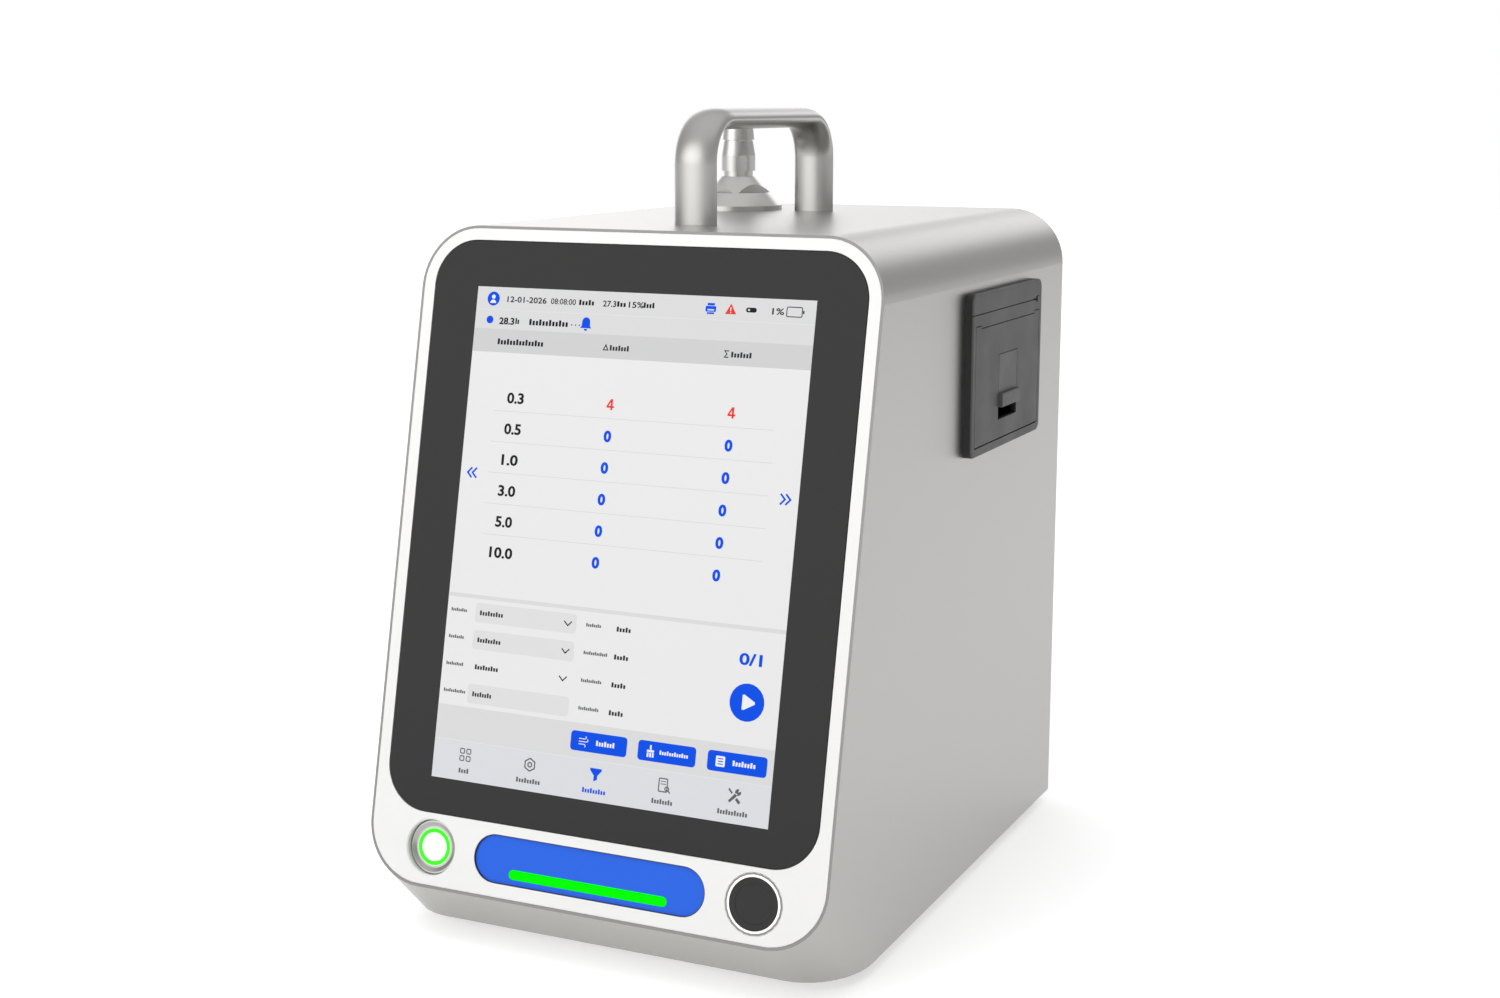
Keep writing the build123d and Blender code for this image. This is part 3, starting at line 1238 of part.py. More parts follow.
def fan_section(radius, turn, chord):
    """A cambered blade section, set across the fan's axis at a radius."""
    camber = SagittaArc((-chord / 2, 0), (chord / 2, 0), 1.4)
    return (Pos(0, 0, radius) * Rot(0, 0, turn) * trace(camber, 1.1)).face()


def make_cooling_fan_rotor():
    y0 = FAN_FRONT + 3.2
    y1 = REAR_FACE - 1.2
    middle = (y0 + y1) / 2
    hub = Rot(90, 0, 0) * Cylinder(FAN_HUB_R, y1 - y0)
    hub = chamfer(hub.edges().group_by(Axis.Y)[-1], 1)
    blade = loft([fan_section(FAN_HUB_R - 1.5, 48, 11), fan_section(FAN_BLADE_R + 1, 28, 15)])
    blade = blade & Rot(90, 0, 0) * Cylinder(FAN_BLADE_R, y1 - y0 - 0.5)
    for i in range(FAN_BLADES):
        hub += Rot(0, 360 * i / FAN_BLADES, 0) * blade
    rotor = Pos(FAN_X, middle, FAN_CZ) * hub
    return rotor + bar_y(FAN_PIN_R, FAN_X, FAN_FRONT + 0.2, y0 + 1, FAN_CZ)


NODES = {
    "case_shell": make_case_shell,
    "base_plate": make_base_plate,
    "rear_panel": make_rear_panel,
    "rubber_feet": make_rubber_feet,
    "foot_screws": make_foot_screws,
    "base_screws": make_base_screws,
    "rear_screws": make_rear_screws,
    "front_panel": make_front_panel,
    "touch_glass": make_touch_glass,
    "lcd_module": make_lcd_module,
    "display_frame": make_display_frame,
    "board_standoffs": make_board_standoffs,
    "main_board": make_main_board,
    "status_lens": make_status_lens,
    "status_light_bar": make_status_light_bar,
    "power_button_housing": make_power_button_housing,
    "power_button_led_ring": make_power_button_led_ring,
    "power_button_cap": make_power_button_cap,
    "power_button_nut": make_power_button_nut,
    "fingerprint_bezel": make_fingerprint_bezel,
    "fingerprint_sensor": make_fingerprint_sensor,
    "carry_handle": make_carry_handle,
    "handle_stiffener": make_handle_stiffener,
    "handle_screws": make_handle_screws,
    "inlet_nozzle": make_inlet_nozzle,
    "inlet_gasket": make_inlet_gasket,
    "inlet_nut": make_inlet_nut,
    "sample_tube": make_sample_tube,
    "printer_housing": make_printer_housing,
    "printer_hinge_pin": make_printer_hinge_pin,
    "printer_door": make_printer_door,
    "printer_latch": make_printer_latch,
    "platen_roller": make_platen_roller,
    "platen_shaft": make_platen_shaft,
    "thermal_head": make_thermal_head,
    "tear_bar": make_tear_bar,
    "chassis_bridge": make_chassis_bridge,
    "optical_sensor_block": make_optical_sensor_block,
    "laser_module": make_laser_module,
    "detector_board": make_detector_board,
    "suction_tube": make_suction_tube,
    "blower_housing": make_blower_housing,
    "blower_cover": make_blower_cover,
    "blower_motor": make_blower_motor,
    "blower_impeller": make_blower_impeller,
    "blower_axle": make_blower_axle,
    "hepa_filter": make_hepa_filter,
    "filter_saddle": make_filter_saddle,
    "exhaust_fitting": make_exhaust_fitting,
    "power_standoffs": make_power_standoffs,
    "power_board": make_power_board,
    "io_standoffs": make_io_standoffs,
    "io_board": make_io_board,
    "lan_port": make_lan_port,
    "usb_ports": make_usb_ports,
    "dc_jack": make_dc_jack,
    "battery_pack": make_battery_pack,
    "battery_bracket": make_battery_bracket,
    "cooling_fan_frame": make_cooling_fan_frame,
    "cooling_fan_rotor": make_cooling_fan_rotor,
}

os.makedirs("parts", exist_ok=True)
for name, make in NODES.items():
    export_step(make(), f"parts/{name}.step")
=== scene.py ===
"""The looks of an airborne particle counter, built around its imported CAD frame.

Blender's unit is the metre. Sizes named here are millimetres, turned to metres by MM.
"""

from math import cos, hypot, pi, radians, sin

import bmesh
import bpy
from mathutils import Matrix, Vector


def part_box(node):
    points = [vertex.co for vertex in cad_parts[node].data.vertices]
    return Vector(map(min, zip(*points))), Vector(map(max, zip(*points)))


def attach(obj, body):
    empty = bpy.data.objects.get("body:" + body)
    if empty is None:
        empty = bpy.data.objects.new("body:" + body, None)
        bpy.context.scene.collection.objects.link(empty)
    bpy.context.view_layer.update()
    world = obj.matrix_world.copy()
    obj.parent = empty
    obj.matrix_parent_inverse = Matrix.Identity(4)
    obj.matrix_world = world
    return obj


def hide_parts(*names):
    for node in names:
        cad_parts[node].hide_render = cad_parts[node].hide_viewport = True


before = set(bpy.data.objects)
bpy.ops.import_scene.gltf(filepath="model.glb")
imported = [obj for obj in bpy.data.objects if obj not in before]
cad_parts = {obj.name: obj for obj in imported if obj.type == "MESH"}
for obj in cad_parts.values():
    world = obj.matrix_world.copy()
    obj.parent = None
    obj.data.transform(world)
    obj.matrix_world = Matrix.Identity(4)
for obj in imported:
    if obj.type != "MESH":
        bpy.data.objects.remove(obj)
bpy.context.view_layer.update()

MM = 0.001
ROOT = "case"

# ---------------------------------------------------------------------------
# Sizes
# ---------------------------------------------------------------------------

# The front panel leans back, and the screen is lit inside the glass's black border
LEAN = 12.8
SCREEN_W = 147.0
SCREEN_H = 196.0
BORDER_SIDE = 20.5
BORDER_TOP = 18.575

# Height over the glass of each layer of the picture
PAPER = 0.05            # the screen's ground
BAND = 0.10             # bars across it and fields on it
MARK = 0.15             # digits, icons and buttons
INLAY = 0.20            # what is drawn on the buttons

# The printer's bezel: how far its face's own tone wraps over the edge, before its walls take a
# painted shade
WALL_EDGE = 0.9

# Camera
CAMERA_AT = (0.3765, -0.79515, 0.3316)
CAMERA_TURN = 24.99     # towards the left from straight ahead
CAMERA_DIP = 10.80
LENS = 50.0
SENSOR = 36.0

# ---------------------------------------------------------------------------
# The front panel's own frame
# ---------------------------------------------------------------------------

ACROSS = Vector((1, 0, 0))
UP_SLOPE = Vector((0, sin(radians(LEAN)), cos(radians(LEAN))))
OUTWARD = ACROSS.cross(UP_SLOPE)


def extent(node, direction):
    """How far a node reaches along a direction, lowest and highest, in metres."""
    along = [vertex.co.dot(direction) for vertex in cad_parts[node].data.vertices]
    return min(along), max(along)


glass_left = extent("touch_glass", ACROSS)[0]
glass_top = extent("touch_glass", UP_SLOPE)[1]
glass_face = extent("touch_glass", OUTWARD)[1]
SCREEN_CORNER = (
    ACROSS * (glass_left + BORDER_SIDE * MM)
    + UP_SLOPE * (glass_top - BORDER_TOP * MM)
    + OUTWARD * glass_face
)
PANEL_AXES = Matrix((ACROSS, UP_SLOPE, OUTWARD)).transposed().to_4x4()
SCREEN_FRAME = Matrix.Translation(SCREEN_CORNER) @ PANEL_AXES @ Matrix.Scale(MM, 4)

# ---------------------------------------------------------------------------
# Materials
# ---------------------------------------------------------------------------


def srgb(red, green, blue):
    """A colour as a screen shows it, from 0 to 255, as linear light."""
    linear = []
    for part in (red, green, blue):
        c = part / 255
        linear.append(c / 12.92 if c <= 0.04045 else ((c + 0.055) / 1.055) ** 2.4)
    return (*linear, 1.0)


def shade(colour, amount):
    """The colour made darker or, with an amount above 1, lighter."""
    return (*(min(1.0, part * amount) for part in colour[:3]), 1.0)


def finish_of(name, colour, roughness, metallic=0.0, **sockets):
    """A plain Principled material. Other sockets are given by their names with _ for a space."""
    material = bpy.data.materials.new(name)
    material.use_nodes = True
    shader = material.node_tree.nodes["Principled BSDF"]
    shader.inputs["Base Color"].default_value = colour
    shader.inputs["Roughness"].default_value = roughness
    shader.inputs["Metallic"].default_value = metallic
    for socket, value in sockets.items():
        shader.inputs[socket.replace("_", " ")].default_value = value
    return material


def noise(material, scale, detail, stretch=(1, 1, 1)):
    """Noise over the object's own coordinates. Scale is in grains a metre."""
    tree = material.node_tree
    place = tree.nodes.new("ShaderNodeTexCoord")
    mapping = tree.nodes.new("ShaderNodeMapping")
    mapping.inputs["Scale"].default_value = stretch
    tree.links.new(place.outputs["Object"], mapping.inputs["Vector"])
    texture = tree.nodes.new("ShaderNodeTexNoise")
    texture.inputs["Scale"].default_value = scale
    texture.inputs["Detail"].default_value = detail
    tree.links.new(mapping.outputs["Vector"], texture.inputs["Vector"])
    return texture


def vary(material, scale, colour=0.0, roughness=0.0, detail=3.0, stretch=(1, 1, 1)):
    """Lets the colour and the roughness wander a little about their own values."""
    tree = material.node_tree
    shader = tree.nodes["Principled BSDF"]
    texture = noise(material, scale, detail, stretch)
    if colour:
        base = tuple(shader.inputs["Base Color"].default_value)
        mix = tree.nodes.new("ShaderNodeMix")
        mix.data_type = "RGBA"
        mix.inputs["A"].default_value = shade(base, 1 - colour)
        mix.inputs["B"].default_value = shade(base, 1 + colour)
        tree.links.new(texture.outputs["Fac"], mix.inputs["Factor"])
        tree.links.new(mix.outputs["Result"], shader.inputs["Base Color"])
    if roughness:
        middle = shader.inputs["Roughness"].default_value
        spread = tree.nodes.new("ShaderNodeMapRange")
        spread.inputs["From Min"].default_value = 0.3
        spread.inputs["From Max"].default_value = 0.7
        spread.inputs["To Min"].default_value = max(0.02, middle - roughness)
        spread.inputs["To Max"].default_value = min(1.0, middle + roughness)
        tree.links.new(texture.outputs["Fac"], spread.inputs["Value"])
        tree.links.new(spread.outputs["Result"], shader.inputs["Roughness"])
    return material


def grain(material, scale, strength, depth, detail=2.0, stretch=(1, 1, 1)):
    """A fine relief in the surface. Depth is in metres."""
    tree = material.node_tree
    shader = tree.nodes["Principled BSDF"]
    texture = noise(material, scale, detail, stretch)
    bump = tree.nodes.new("ShaderNodeBump")
    bump.inputs["Strength"].default_value = strength
    bump.inputs["Distance"].default_value = depth
    tree.links.new(texture.outputs["Fac"], bump.inputs["Height"])
    tree.links.new(bump.outputs["Normal"], shader.inputs["Normal"])
    return material


def steel(name, tone, roughness, fine=3200, relief=0.05):
    """Bead-blasted or brushed stainless steel."""
    warm = (tone, tone * 0.985, tone * 0.955, 1)
    material = finish_of(name, warm, roughness, metallic=1.0)
    vary(material, 900, colour=0.02, roughness=0.02)
    return grain(material, fine, relief, 0.0001)


def plastic(name, colour, roughness, scale=1600, relief=0.15, **sockets):
    """Moulded plastic with a spark-eroded skin."""
    material = finish_of(name, colour, roughness, **sockets)
    vary(material, 60, colour=0.03, roughness=0.05)
    return grain(material, scale, relief, 0.0001)


def painted_shade_along(material, direction, start, end, tone):
    """Painted shade: the given tone before start, fading to the material's own colour past end, in
    metres along a direction.
    """
    tree = material.node_tree
    shader = tree.nodes["Principled BSDF"]
    face = shader.inputs["Base Color"].links[0].from_socket
    place = tree.nodes.new("ShaderNodeTexCoord")
    along = tree.nodes.new("ShaderNodeVectorMath")
    along.operation = "DOT_PRODUCT"
    along.inputs[1].default_value = direction
    tree.links.new(place.outputs["Object"], along.inputs[0])
    ramp = tree.nodes.new("ShaderNodeMapRange")
    ramp.interpolation_type = "SMOOTHSTEP"
    ramp.inputs["From Min"].default_value = start
    ramp.inputs["From Max"].default_value = end
    tree.links.new(along.outputs["Value"], ramp.inputs["Value"])
    mix = tree.nodes.new("ShaderNodeMix")
    mix.data_type = "RGBA"
    mix.inputs["A"].default_value = tone
    tree.links.new(face, mix.inputs["B"])
    tree.links.new(ramp.outputs["Result"], mix.inputs["Factor"])
    tree.links.new(mix.outputs["Result"], shader.inputs["Base Color"])
    return material


def rubber(name, colour):
    material = finish_of(name, colour, 0.75)
    vary(material, 150, colour=0.12, roughness=0.08)
    return grain(material, 2500, 0.25, 0.0002)


def glow(name, colour, share=0.6, roughness=0.3, gloss=0.03):
    """Something that gives part of its own light."""
    material = finish_of(name, shade(colour, 1 - share), roughness)
    shader = material.node_tree.nodes["Principled BSDF"]
    shader.inputs["Emission Color"].default_value = colour
    shader.inputs["Emission Strength"].default_value = share
    shader.inputs["Specular IOR Level"].default_value = gloss
    return vary(material, 400, roughness=0.04)


def circuit(name):
    """Green lacquer over copper tracks."""
    material = finish_of(name, (0.02, 0.16, 0.08, 1), 0.35)
    vary(material, 700, colour=0.35, detail=0.0, stretch=(1, 4, 4))
    return grain(material, 1100, 0.2, 0.00015, detail=0.0)


PRINTER_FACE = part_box("printer_housing")[1].x
RIM_SHADE_DEPTH = 0.25         # how deep the painted shade on the sheet's front rim reaches
RIM_PAINTED_SHADE = (0.20, 0.197, 0.19, 1)
BEZEL_WALL_PAINTED_SHADE = (0.016, 0.016, 0.016, 1)

# The case's front rim gets a darker tone: painted shade, standing in for the dim reflection of a
# rounded rim.
CASE_STEEL = painted_shade_along(
    steel("case_steel", 0.445, 0.36, relief=0.03), -OUTWARD,
    -glass_face, -glass_face + RIM_SHADE_DEPTH * MM, RIM_PAINTED_SHADE,
)
HANDLE_STEEL = steel("handle_steel", 0.46, 0.34, relief=0.02)
NOZZLE_STEEL = steel("nozzle_steel", 0.55, 0.30, fine=1500, relief=0.006)
BUTTON_STEEL = steel("button_steel", 0.38, 0.30)
FASTENER_STEEL = steel("fastener_steel", 0.62, 0.28)
ZINC_STEEL = steel("zinc_steel", 0.55, 0.42)
MODULE_METAL = steel("module_metal", 0.5, 0.35)
PORT_METAL = steel("port_metal", 0.66, 0.25)
BRASS = vary(finish_of("brass_spacer", (0.66, 0.5, 0.22, 1), 0.3, metallic=1.0), 500, 0.05, 0.04)
PANEL_WHITE = plastic("panel_white", (0.84, 0.836, 0.825, 1), 0.45, relief=0.06)
BLACK_GLASS = vary(
    finish_of("black_glass", (0.030, 0.0298, 0.0296, 1), 0.22, Specular_IOR_Level=0.1),
    20, roughness=0.02,
)
BLUE_LENS = plastic(
    "blue_lens", (0.022, 0.130, 0.76, 1), 0.42, relief=0.04, Specular_IOR_Level=0.12
)
GREEN_BAR = glow("green_light", (0.0, 1.0, 0.0, 1), 0.9, gloss=0.02)
GREEN_RING = glow("green_ring", srgb(74, 255, 46), 0.9, gloss=0.02)
WHITE_CAP = glow("white_cap", (0.95, 0.95, 0.94, 1), 0.45, 0.35, gloss=0.2)
WHITE_EDGE = glow("pale_edge", srgb(214, 255, 208), 0.8)
BEZEL_SILVER = steel("bezel_silver", 0.72, 0.22, relief=0.02)
GROOVE_GREY = plastic("groove_grey", (0.26, 0.255, 0.25, 1), 0.6)
# Painted shade: a black band laid over the status lens's recess walls.
RECESS_SHADE_BLACK = plastic("lens_recess_painted_shade", (0.012, 0.014, 0.02, 1), 0.6)
SENSOR_BLACK = plastic(
    "sensor_black", (0.024, 0.024, 0.0235, 1), 0.4, relief=0.06, Specular_IOR_Level=0.2
)
# The printer bezel's walls, past its face, are painted near-black: painted shade, darker than the
# light alone makes them.
PRINTER_GREY = painted_shade_along(
    plastic("printer_grey", (0.086, 0.085, 0.086, 1), 0.55, relief=0.25), (1, 0, 0),
    PRINTER_FACE - WALL_EDGE * MM, PRINTER_FACE - WALL_EDGE * MM / 3, BEZEL_WALL_PAINTED_SHADE,
)
LATCH_GREY = plastic("latch_grey", (0.092, 0.091, 0.092, 1), 0.5, relief=0.25)
MOULDED_BLACK = plastic("moulded_black", (0.03, 0.03, 0.032, 1), 0.5)
FOOT_RUBBER = rubber("foot_rubber", (0.03, 0.03, 0.03, 1))
SEAL_RUBBER = rubber("seal_rubber", (0.04, 0.04, 0.04, 1))
ROLLER_RUBBER = rubber("roller_rubber", (0.06, 0.06, 0.062, 1))
CIRCUIT = circuit("circuit_board")
HOSE = vary(
    finish_of("clear_hose", (0.72, 0.73, 0.7, 1), 0.25, Transmission_Weight=0.5),
    120, roughness=0.05,
)
ANODISED = plastic("black_anodised", (0.035, 0.035, 0.04, 1), 0.4)
WHEEL_WHITE = plastic("wheel_white", (0.72, 0.72, 0.69, 1), 0.5)
FILTER_WHITE = plastic("filter_white", (0.78, 0.78, 0.76, 1), 0.6)
BATTERY_WRAP = plastic("battery_wrap", (0.05, 0.09, 0.14, 1), 0.35)

NODES_OF = (
    (CASE_STEEL, ("case_shell", "rear_panel")),
    (ZINC_STEEL, (
        "base_plate", "chassis_bridge", "display_frame", "filter_saddle", "handle_stiffener",
        "battery_bracket", "blower_motor",
    )),
    (HANDLE_STEEL, ("carry_handle",)),
    (NOZZLE_STEEL, ("inlet_nozzle", "inlet_nut", "exhaust_fitting")),
    (BUTTON_STEEL, ("power_button_housing", "power_button_nut")),
    (FASTENER_STEEL, (
        "foot_screws", "base_screws", "rear_screws", "handle_screws", "printer_hinge_pin",
        "platen_shaft", "blower_axle", "tear_bar",
    )),
    (MODULE_METAL, ("lcd_module", "laser_module")),
    (PORT_METAL, ("lan_port", "usb_ports")),
    (BRASS, ("board_standoffs", "power_standoffs", "io_standoffs")),
    (PANEL_WHITE, ("front_panel",)),
    (BLACK_GLASS, ("touch_glass",)),
    (BLUE_LENS, ("status_lens",)),
    (GREEN_BAR, ("status_light_bar",)),
    (GREEN_RING, ("power_button_led_ring",)),
    (WHITE_CAP, ("power_button_cap",)),
    (BEZEL_SILVER, ("fingerprint_bezel",)),
    (SENSOR_BLACK, ("fingerprint_sensor",)),
    (PRINTER_GREY, ("printer_housing", "printer_door")),
    (LATCH_GREY, ("printer_latch",)),
    (MOULDED_BLACK, ("thermal_head", "dc_jack", "cooling_fan_frame", "cooling_fan_rotor")),
    (FOOT_RUBBER, ("rubber_feet",)),
    (SEAL_RUBBER, ("inlet_gasket",)),
    (ROLLER_RUBBER, ("platen_roller",)),
    (CIRCUIT, ("main_board", "detector_board", "power_board", "io_board")),
    (HOSE, ("sample_tube", "suction_tube")),
    (ANODISED, ("optical_sensor_block",)),
    (WHEEL_WHITE, ("blower_impeller", "blower_housing", "blower_cover")),
    (FILTER_WHITE, ("hepa_filter",)),
    (BATTERY_WRAP, ("battery_pack",)),
)


def dress(obj, material):
    obj.data.materials.clear()
    obj.data.materials.append(material)


for material, names in NODES_OF:
    for node in names:
        dress(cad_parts[node], material)

# ---------------------------------------------------------------------------
# Outlines on the screen: millimetres from its top left corner, x right, y down
# ---------------------------------------------------------------------------

ARC_STEP = radians(15)
DIGIT_SHARE = 0.729     # a digit's height as a share of the font's size
BLOCK_PITCH = 0.62      # blocks in a row of print, as shares of its height or their pitch
BLOCK_LOW = 0.74
BLOCK_FILL = 0.66
BLOCK_R = 0.12


def arc(x, y, radius, start, end):
    """Points round a centre, in degrees, clockwise on the screen from the right."""
    steps = max(2, round(abs(radians(end - start)) / ARC_STEP))
    turn = [radians(start + (end - start) * i / steps) for i in range(steps + 1)]
    return [(x + radius * cos(t), y + radius * sin(t)) for t in turn]


def disc(x, y, radius):
    return arc(x, y, radius, 0, 345)


def box(left, top, right, bottom, radius=0.0):
    """A rectangle, with round corners where a radius is given."""
    if not radius:
        return [(left, top), (right, top), (right, bottom), (left, bottom)]
    return (
        arc(right - radius, top + radius, radius, -90, 0)
        + arc(right - radius, bottom - radius, radius, 0, 90)
        + arc(left + radius, bottom - radius, radius, 90, 180)
        + arc(left + radius, top + radius, radius, 180, 270)
    )


def line_box(left, top, right, bottom, radius, width):
    """The line round a box, as its outer and inner outlines."""
    inner = box(left + width, top + width, right - width, bottom - width, radius - width)
    return [box(left, top, right, bottom, radius), inner]


def stroke(points, width):
    """The outline of a line of that width through the points, square at its ends."""
    left, right = [], []
    for i, (x, y) in enumerate(points):
        x0, y0 = points[max(i - 1, 0)]
        x1, y1 = points[min(i + 1, len(points) - 1)]
        length = hypot(x1 - x0, y1 - y0)
        nx, ny = (y0 - y1) / length, (x1 - x0) / length
        half = width / 2
        if 0 < i < len(points) - 1:
            before = hypot(x - x0, y - y0)
            after = hypot(x1 - x, y1 - y)
            bend = ((x - x0) * (x1 - x) + (y - y0) * (y1 - y)) / (before * after)
            half /= max(0.5, ((1 + bend) / 2) ** 0.5)
        left.append((x + nx * half, y + ny * half))
        right.append((x - nx * half, y - ny * half))
    return left + right[::-1]


def words(*places):
    """Print as rows of small blocks. Each row has its left end, middle, width and height."""
    blocks = []
    for left, middle, width, height in places:
        count = max(2, round(width / (BLOCK_PITCH * height)))
        pitch = width / count
        for i in range(count):
            tall = height if i % 3 == 0 else height * BLOCK_LOW
            start = left + i * pitch
            foot = middle + height / 2
            blocks.append(box(start, foot - tall, start + pitch * BLOCK_FILL, foot, BLOCK_R))
    return blocks


def slab(outlines, top):
    """A closed slab in millimetres, as high as top. An outline inside another is a hole."""
    curve = bpy.data.curves.new("outline", "CURVE")
    curve.dimensions = "2D"
    curve.fill_mode = "BOTH"
    curve.extrude = top / 2
    for outline in outlines:
        spline = curve.splines.new("POLY")
        spline.points.add(len(outline) - 1)
        for point, (x, y) in zip(spline.points, outline):
            point.co = (x, -y, 0, 1)
        spline.use_cyclic_u = True
    return as_mesh(curve, top)


def digits(text, x, y, width, height, top, weight, side="CENTER"):
    """Plain numbers of that width and height. X is their middle or left end, y their middle."""
    font = bpy.data.curves.new("digits", "FONT")
    font.body = text
    font.size = height / DIGIT_SHARE
    font.offset = weight
    font.extrude = top / 2
    font.resolution_u = 3
    mesh = as_mesh(font, top)
    xs = [vertex.co.x for vertex in mesh.vertices]
    left, right = min(xs), max(xs)
    start = x - width / 2 if side == "CENTER" else x
    fit = Matrix.Scale(width / (right - left), 4, (1, 0, 0))
    place = Matrix.Translation((start, -y - height / 2, 0))
    mesh.transform(place @ fit @ Matrix.Translation((-left, 0, 0)))
    return mesh


def as_mesh(data, top):
    """The filled curve as a welded mesh whose foot is on the glass."""
    obj = bpy.data.objects.new(data.name, data)
    bpy.context.scene.collection.objects.link(obj)
    bpy.context.view_layer.update()
    mesh = bpy.data.meshes.new_from_object(obj.evaluated_get(bpy.context.evaluated_depsgraph_get()))
    bpy.data.objects.remove(obj)
    mesh.transform(Matrix.Translation((0, 0, top / 2)))
    return mesh


def on_screen(name, material, meshes):
    """One piece from many flat meshes, laid on the glass."""
    shape = bmesh.new()
    for mesh in meshes:
        shape.from_mesh(mesh)
        bpy.data.meshes.remove(mesh)
    bmesh.ops.remove_doubles(shape, verts=shape.verts, dist=0.001)
    bmesh.ops.recalc_face_normals(shape, faces=shape.faces)
    whole = bpy.data.meshes.new(name)
    shape.to_mesh(whole)
    shape.free()
    whole.transform(SCREEN_FRAME)
    obj = bpy.data.objects.new(name, whole)
    bpy.context.scene.collection.objects.link(obj)
    dress(obj, material)
    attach(obj, ROOT)
    return obj


# ---------------------------------------------------------------------------
# The screen's picture
# ---------------------------------------------------------------------------

STATUS_FOOT = 16.7
HEAD_FOOT = 25.9
TABLE_FOOT = 122.4
TABLE_RULE = 1.5
ACTIONS_TOP = 166.9
NAV_TOP = 180.5
TABLE_Y = 43.6
TABLE_STEP = 12.24
SIZE_X = 22.0
COUNT_XS = (64.6, 116.4)
SIZES = ("0.3", "0.5", "1.0", "3.0", "5.0", "10.0")
SIZE_WIDTHS = (7.6, 7.6, 7.4, 7.8, 7.6, 10.5)
DIGIT_W = 3.3           # one digit of the table
DIGIT_H = 4.2
SIZE_WEIGHT = 0.16      # how much bolder than the font
COUNT_WEIGHT = 0.27
STATUS_Y = 4.6          # middles of the two status rows
STATE_Y = 13.3
RULE_LEFT = 12.3
RULE_RIGHT = 134.7
RULE_UP = 6.8           # rule above the row under it
RULE_W = 0.22
FIELD_LEFT = 13.0
FIELD_RIGHT = 58.8
FIELD_H = 7.6
FORM_Y = 129.3
FORM_STEP = 10.7
ACTION_LEFTS = (61.2, 90.5, 119.9)
ACTION_W = 24.5
ACTION_TOP = 169.9
ACTION_H = 7.6
CORNER = 1.4
NAV_XS = (14.7, 44.2, 73.4, 102.8, 132.2)
NAV_ICON_Y = 185.7
NAV_WORD_Y = 192.0
PLAY = (133.8, 150.7)

rows = [TABLE_Y + TABLE_STEP * i for i in range(len(SIZES))]
form = [FORM_Y + FORM_STEP * i for i in range(4)]


def chevrons(x, y, way):
    """Two arrow heads side by side. Way is 1 to the right and -1 to the left."""
    heads = []
    for shift in (-1.1, 1.1):
        tip = x + shift + way * 1.0
        heads.append(stroke([(tip - way * 1.9, y - 2), (tip, y), (tip - way * 1.9, y + 2)], 0.7))
    return heads


def bell(x, y):
    dome = arc(x, y - 0.6, 1.75, 180, 360)
    skirt = [(x + 1.85, y + 1.1), (x + 2.5, y + 1.9), (x - 2.5, y + 1.9), (x - 1.85, y + 1.1)]
    clapper = arc(x, y + 2.2, 0.75, 0, 180)
    return [dome + skirt, clapper]


def four(x, y):
    """A bold 4 with an open counter."""
    outside = [
        (x + 0.95, y - 2.1), (x + 0.95, y + 0.55), (x + 1.6, y + 0.55), (x + 1.6, y + 1.25),
        (x + 0.95, y + 1.25), (x + 0.95, y + 2.1), (x + 0.15, y + 2.1), (x + 0.15, y + 1.25),
        (x - 1.6, y + 1.25), (x - 1.6, y + 0.6), (x + 0.05, y - 2.1),
    ]
    return [outside, [(x + 0.15, y + 0.55), (x + 0.15, y - 1.05), (x - 0.8, y + 0.55)]]


def printer_icon(x, y):
    body = box(x - 2.2, y - 0.95, x + 2.2, y + 1.2, 0.4)
    lid = box(x - 1.5, y - 2.1, x + 1.5, y - 1.2)
    slot = box(x - 1.4, y + 0.2, x + 1.4, y + 0.75)
    tray = box(x - 1.5, y + 1.45, x + 1.5, y + 2.1)
    return [body, lid, slot, tray]


def person(x, y):
    shoulders = arc(x, y + 1.75, 1.35, 180, 360)
    return [disc(x, y - 0.75, 0.85), shoulders]


def funnel(x, y):
    return [[
        (x - 2.5, y - 2.4), (x + 2.5, y - 2.4), (x + 2.5, y - 1.6), (x + 0.75, y + 0.4),
        (x + 0.75, y + 1.9), (x - 0.75, y + 2.6), (x - 0.75, y + 0.4), (x - 2.5, y - 1.6),
    ]]


def lobes(x, y, reach, radius, spread):
    """Six arcs round a centre, the first at the top, each spread to both sides in degrees."""
    outline = []
    for i in range(6):
        middle = 60 * i - 90
        across = x + reach * cos(radians(middle))
        down = y + reach * sin(radians(middle))
        outline += arc(across, down, radius, middle - spread, middle + spread)
    return outline


def gear(x, y):
    """Six rounded lobes round a ring."""
    return [
        lobes(x, y, 1.55, 1.1, 50), lobes(x, y, 1.42, 0.68, 45), disc(x, y, 1.1), disc(x, y, 0.6)
    ]


def tiles(x, y):
    """Four small rounded frames."""
    frames = []
    size = 1.12
    for dx in (-1.45, 1.45):
        for dy in (-1.45, 1.45):
            left, right = x + dx - size, x + dx + size
            frames += line_box(left, y + dy - size, right, y + dy + size, 0.6, 0.42)
    return frames


def report_icon(x, y):
    page = line_box(x - 2.3, y - 2.7, x + 1.7, y + 2.7, 0.6, 0.45)
    lines = [box(x - 1.4, y + dy - 0.15, x + 0.9, y + dy + 0.15) for dy in (-1.4, -0.4)]
    return page + lines


def magnifier(x, y):
    grip = stroke([(x + 0.68, y + 0.68), (x + 1.45, y + 1.45)], 0.45)
    return [disc(x, y, 1.0), disc(x, y, 0.55), grip]


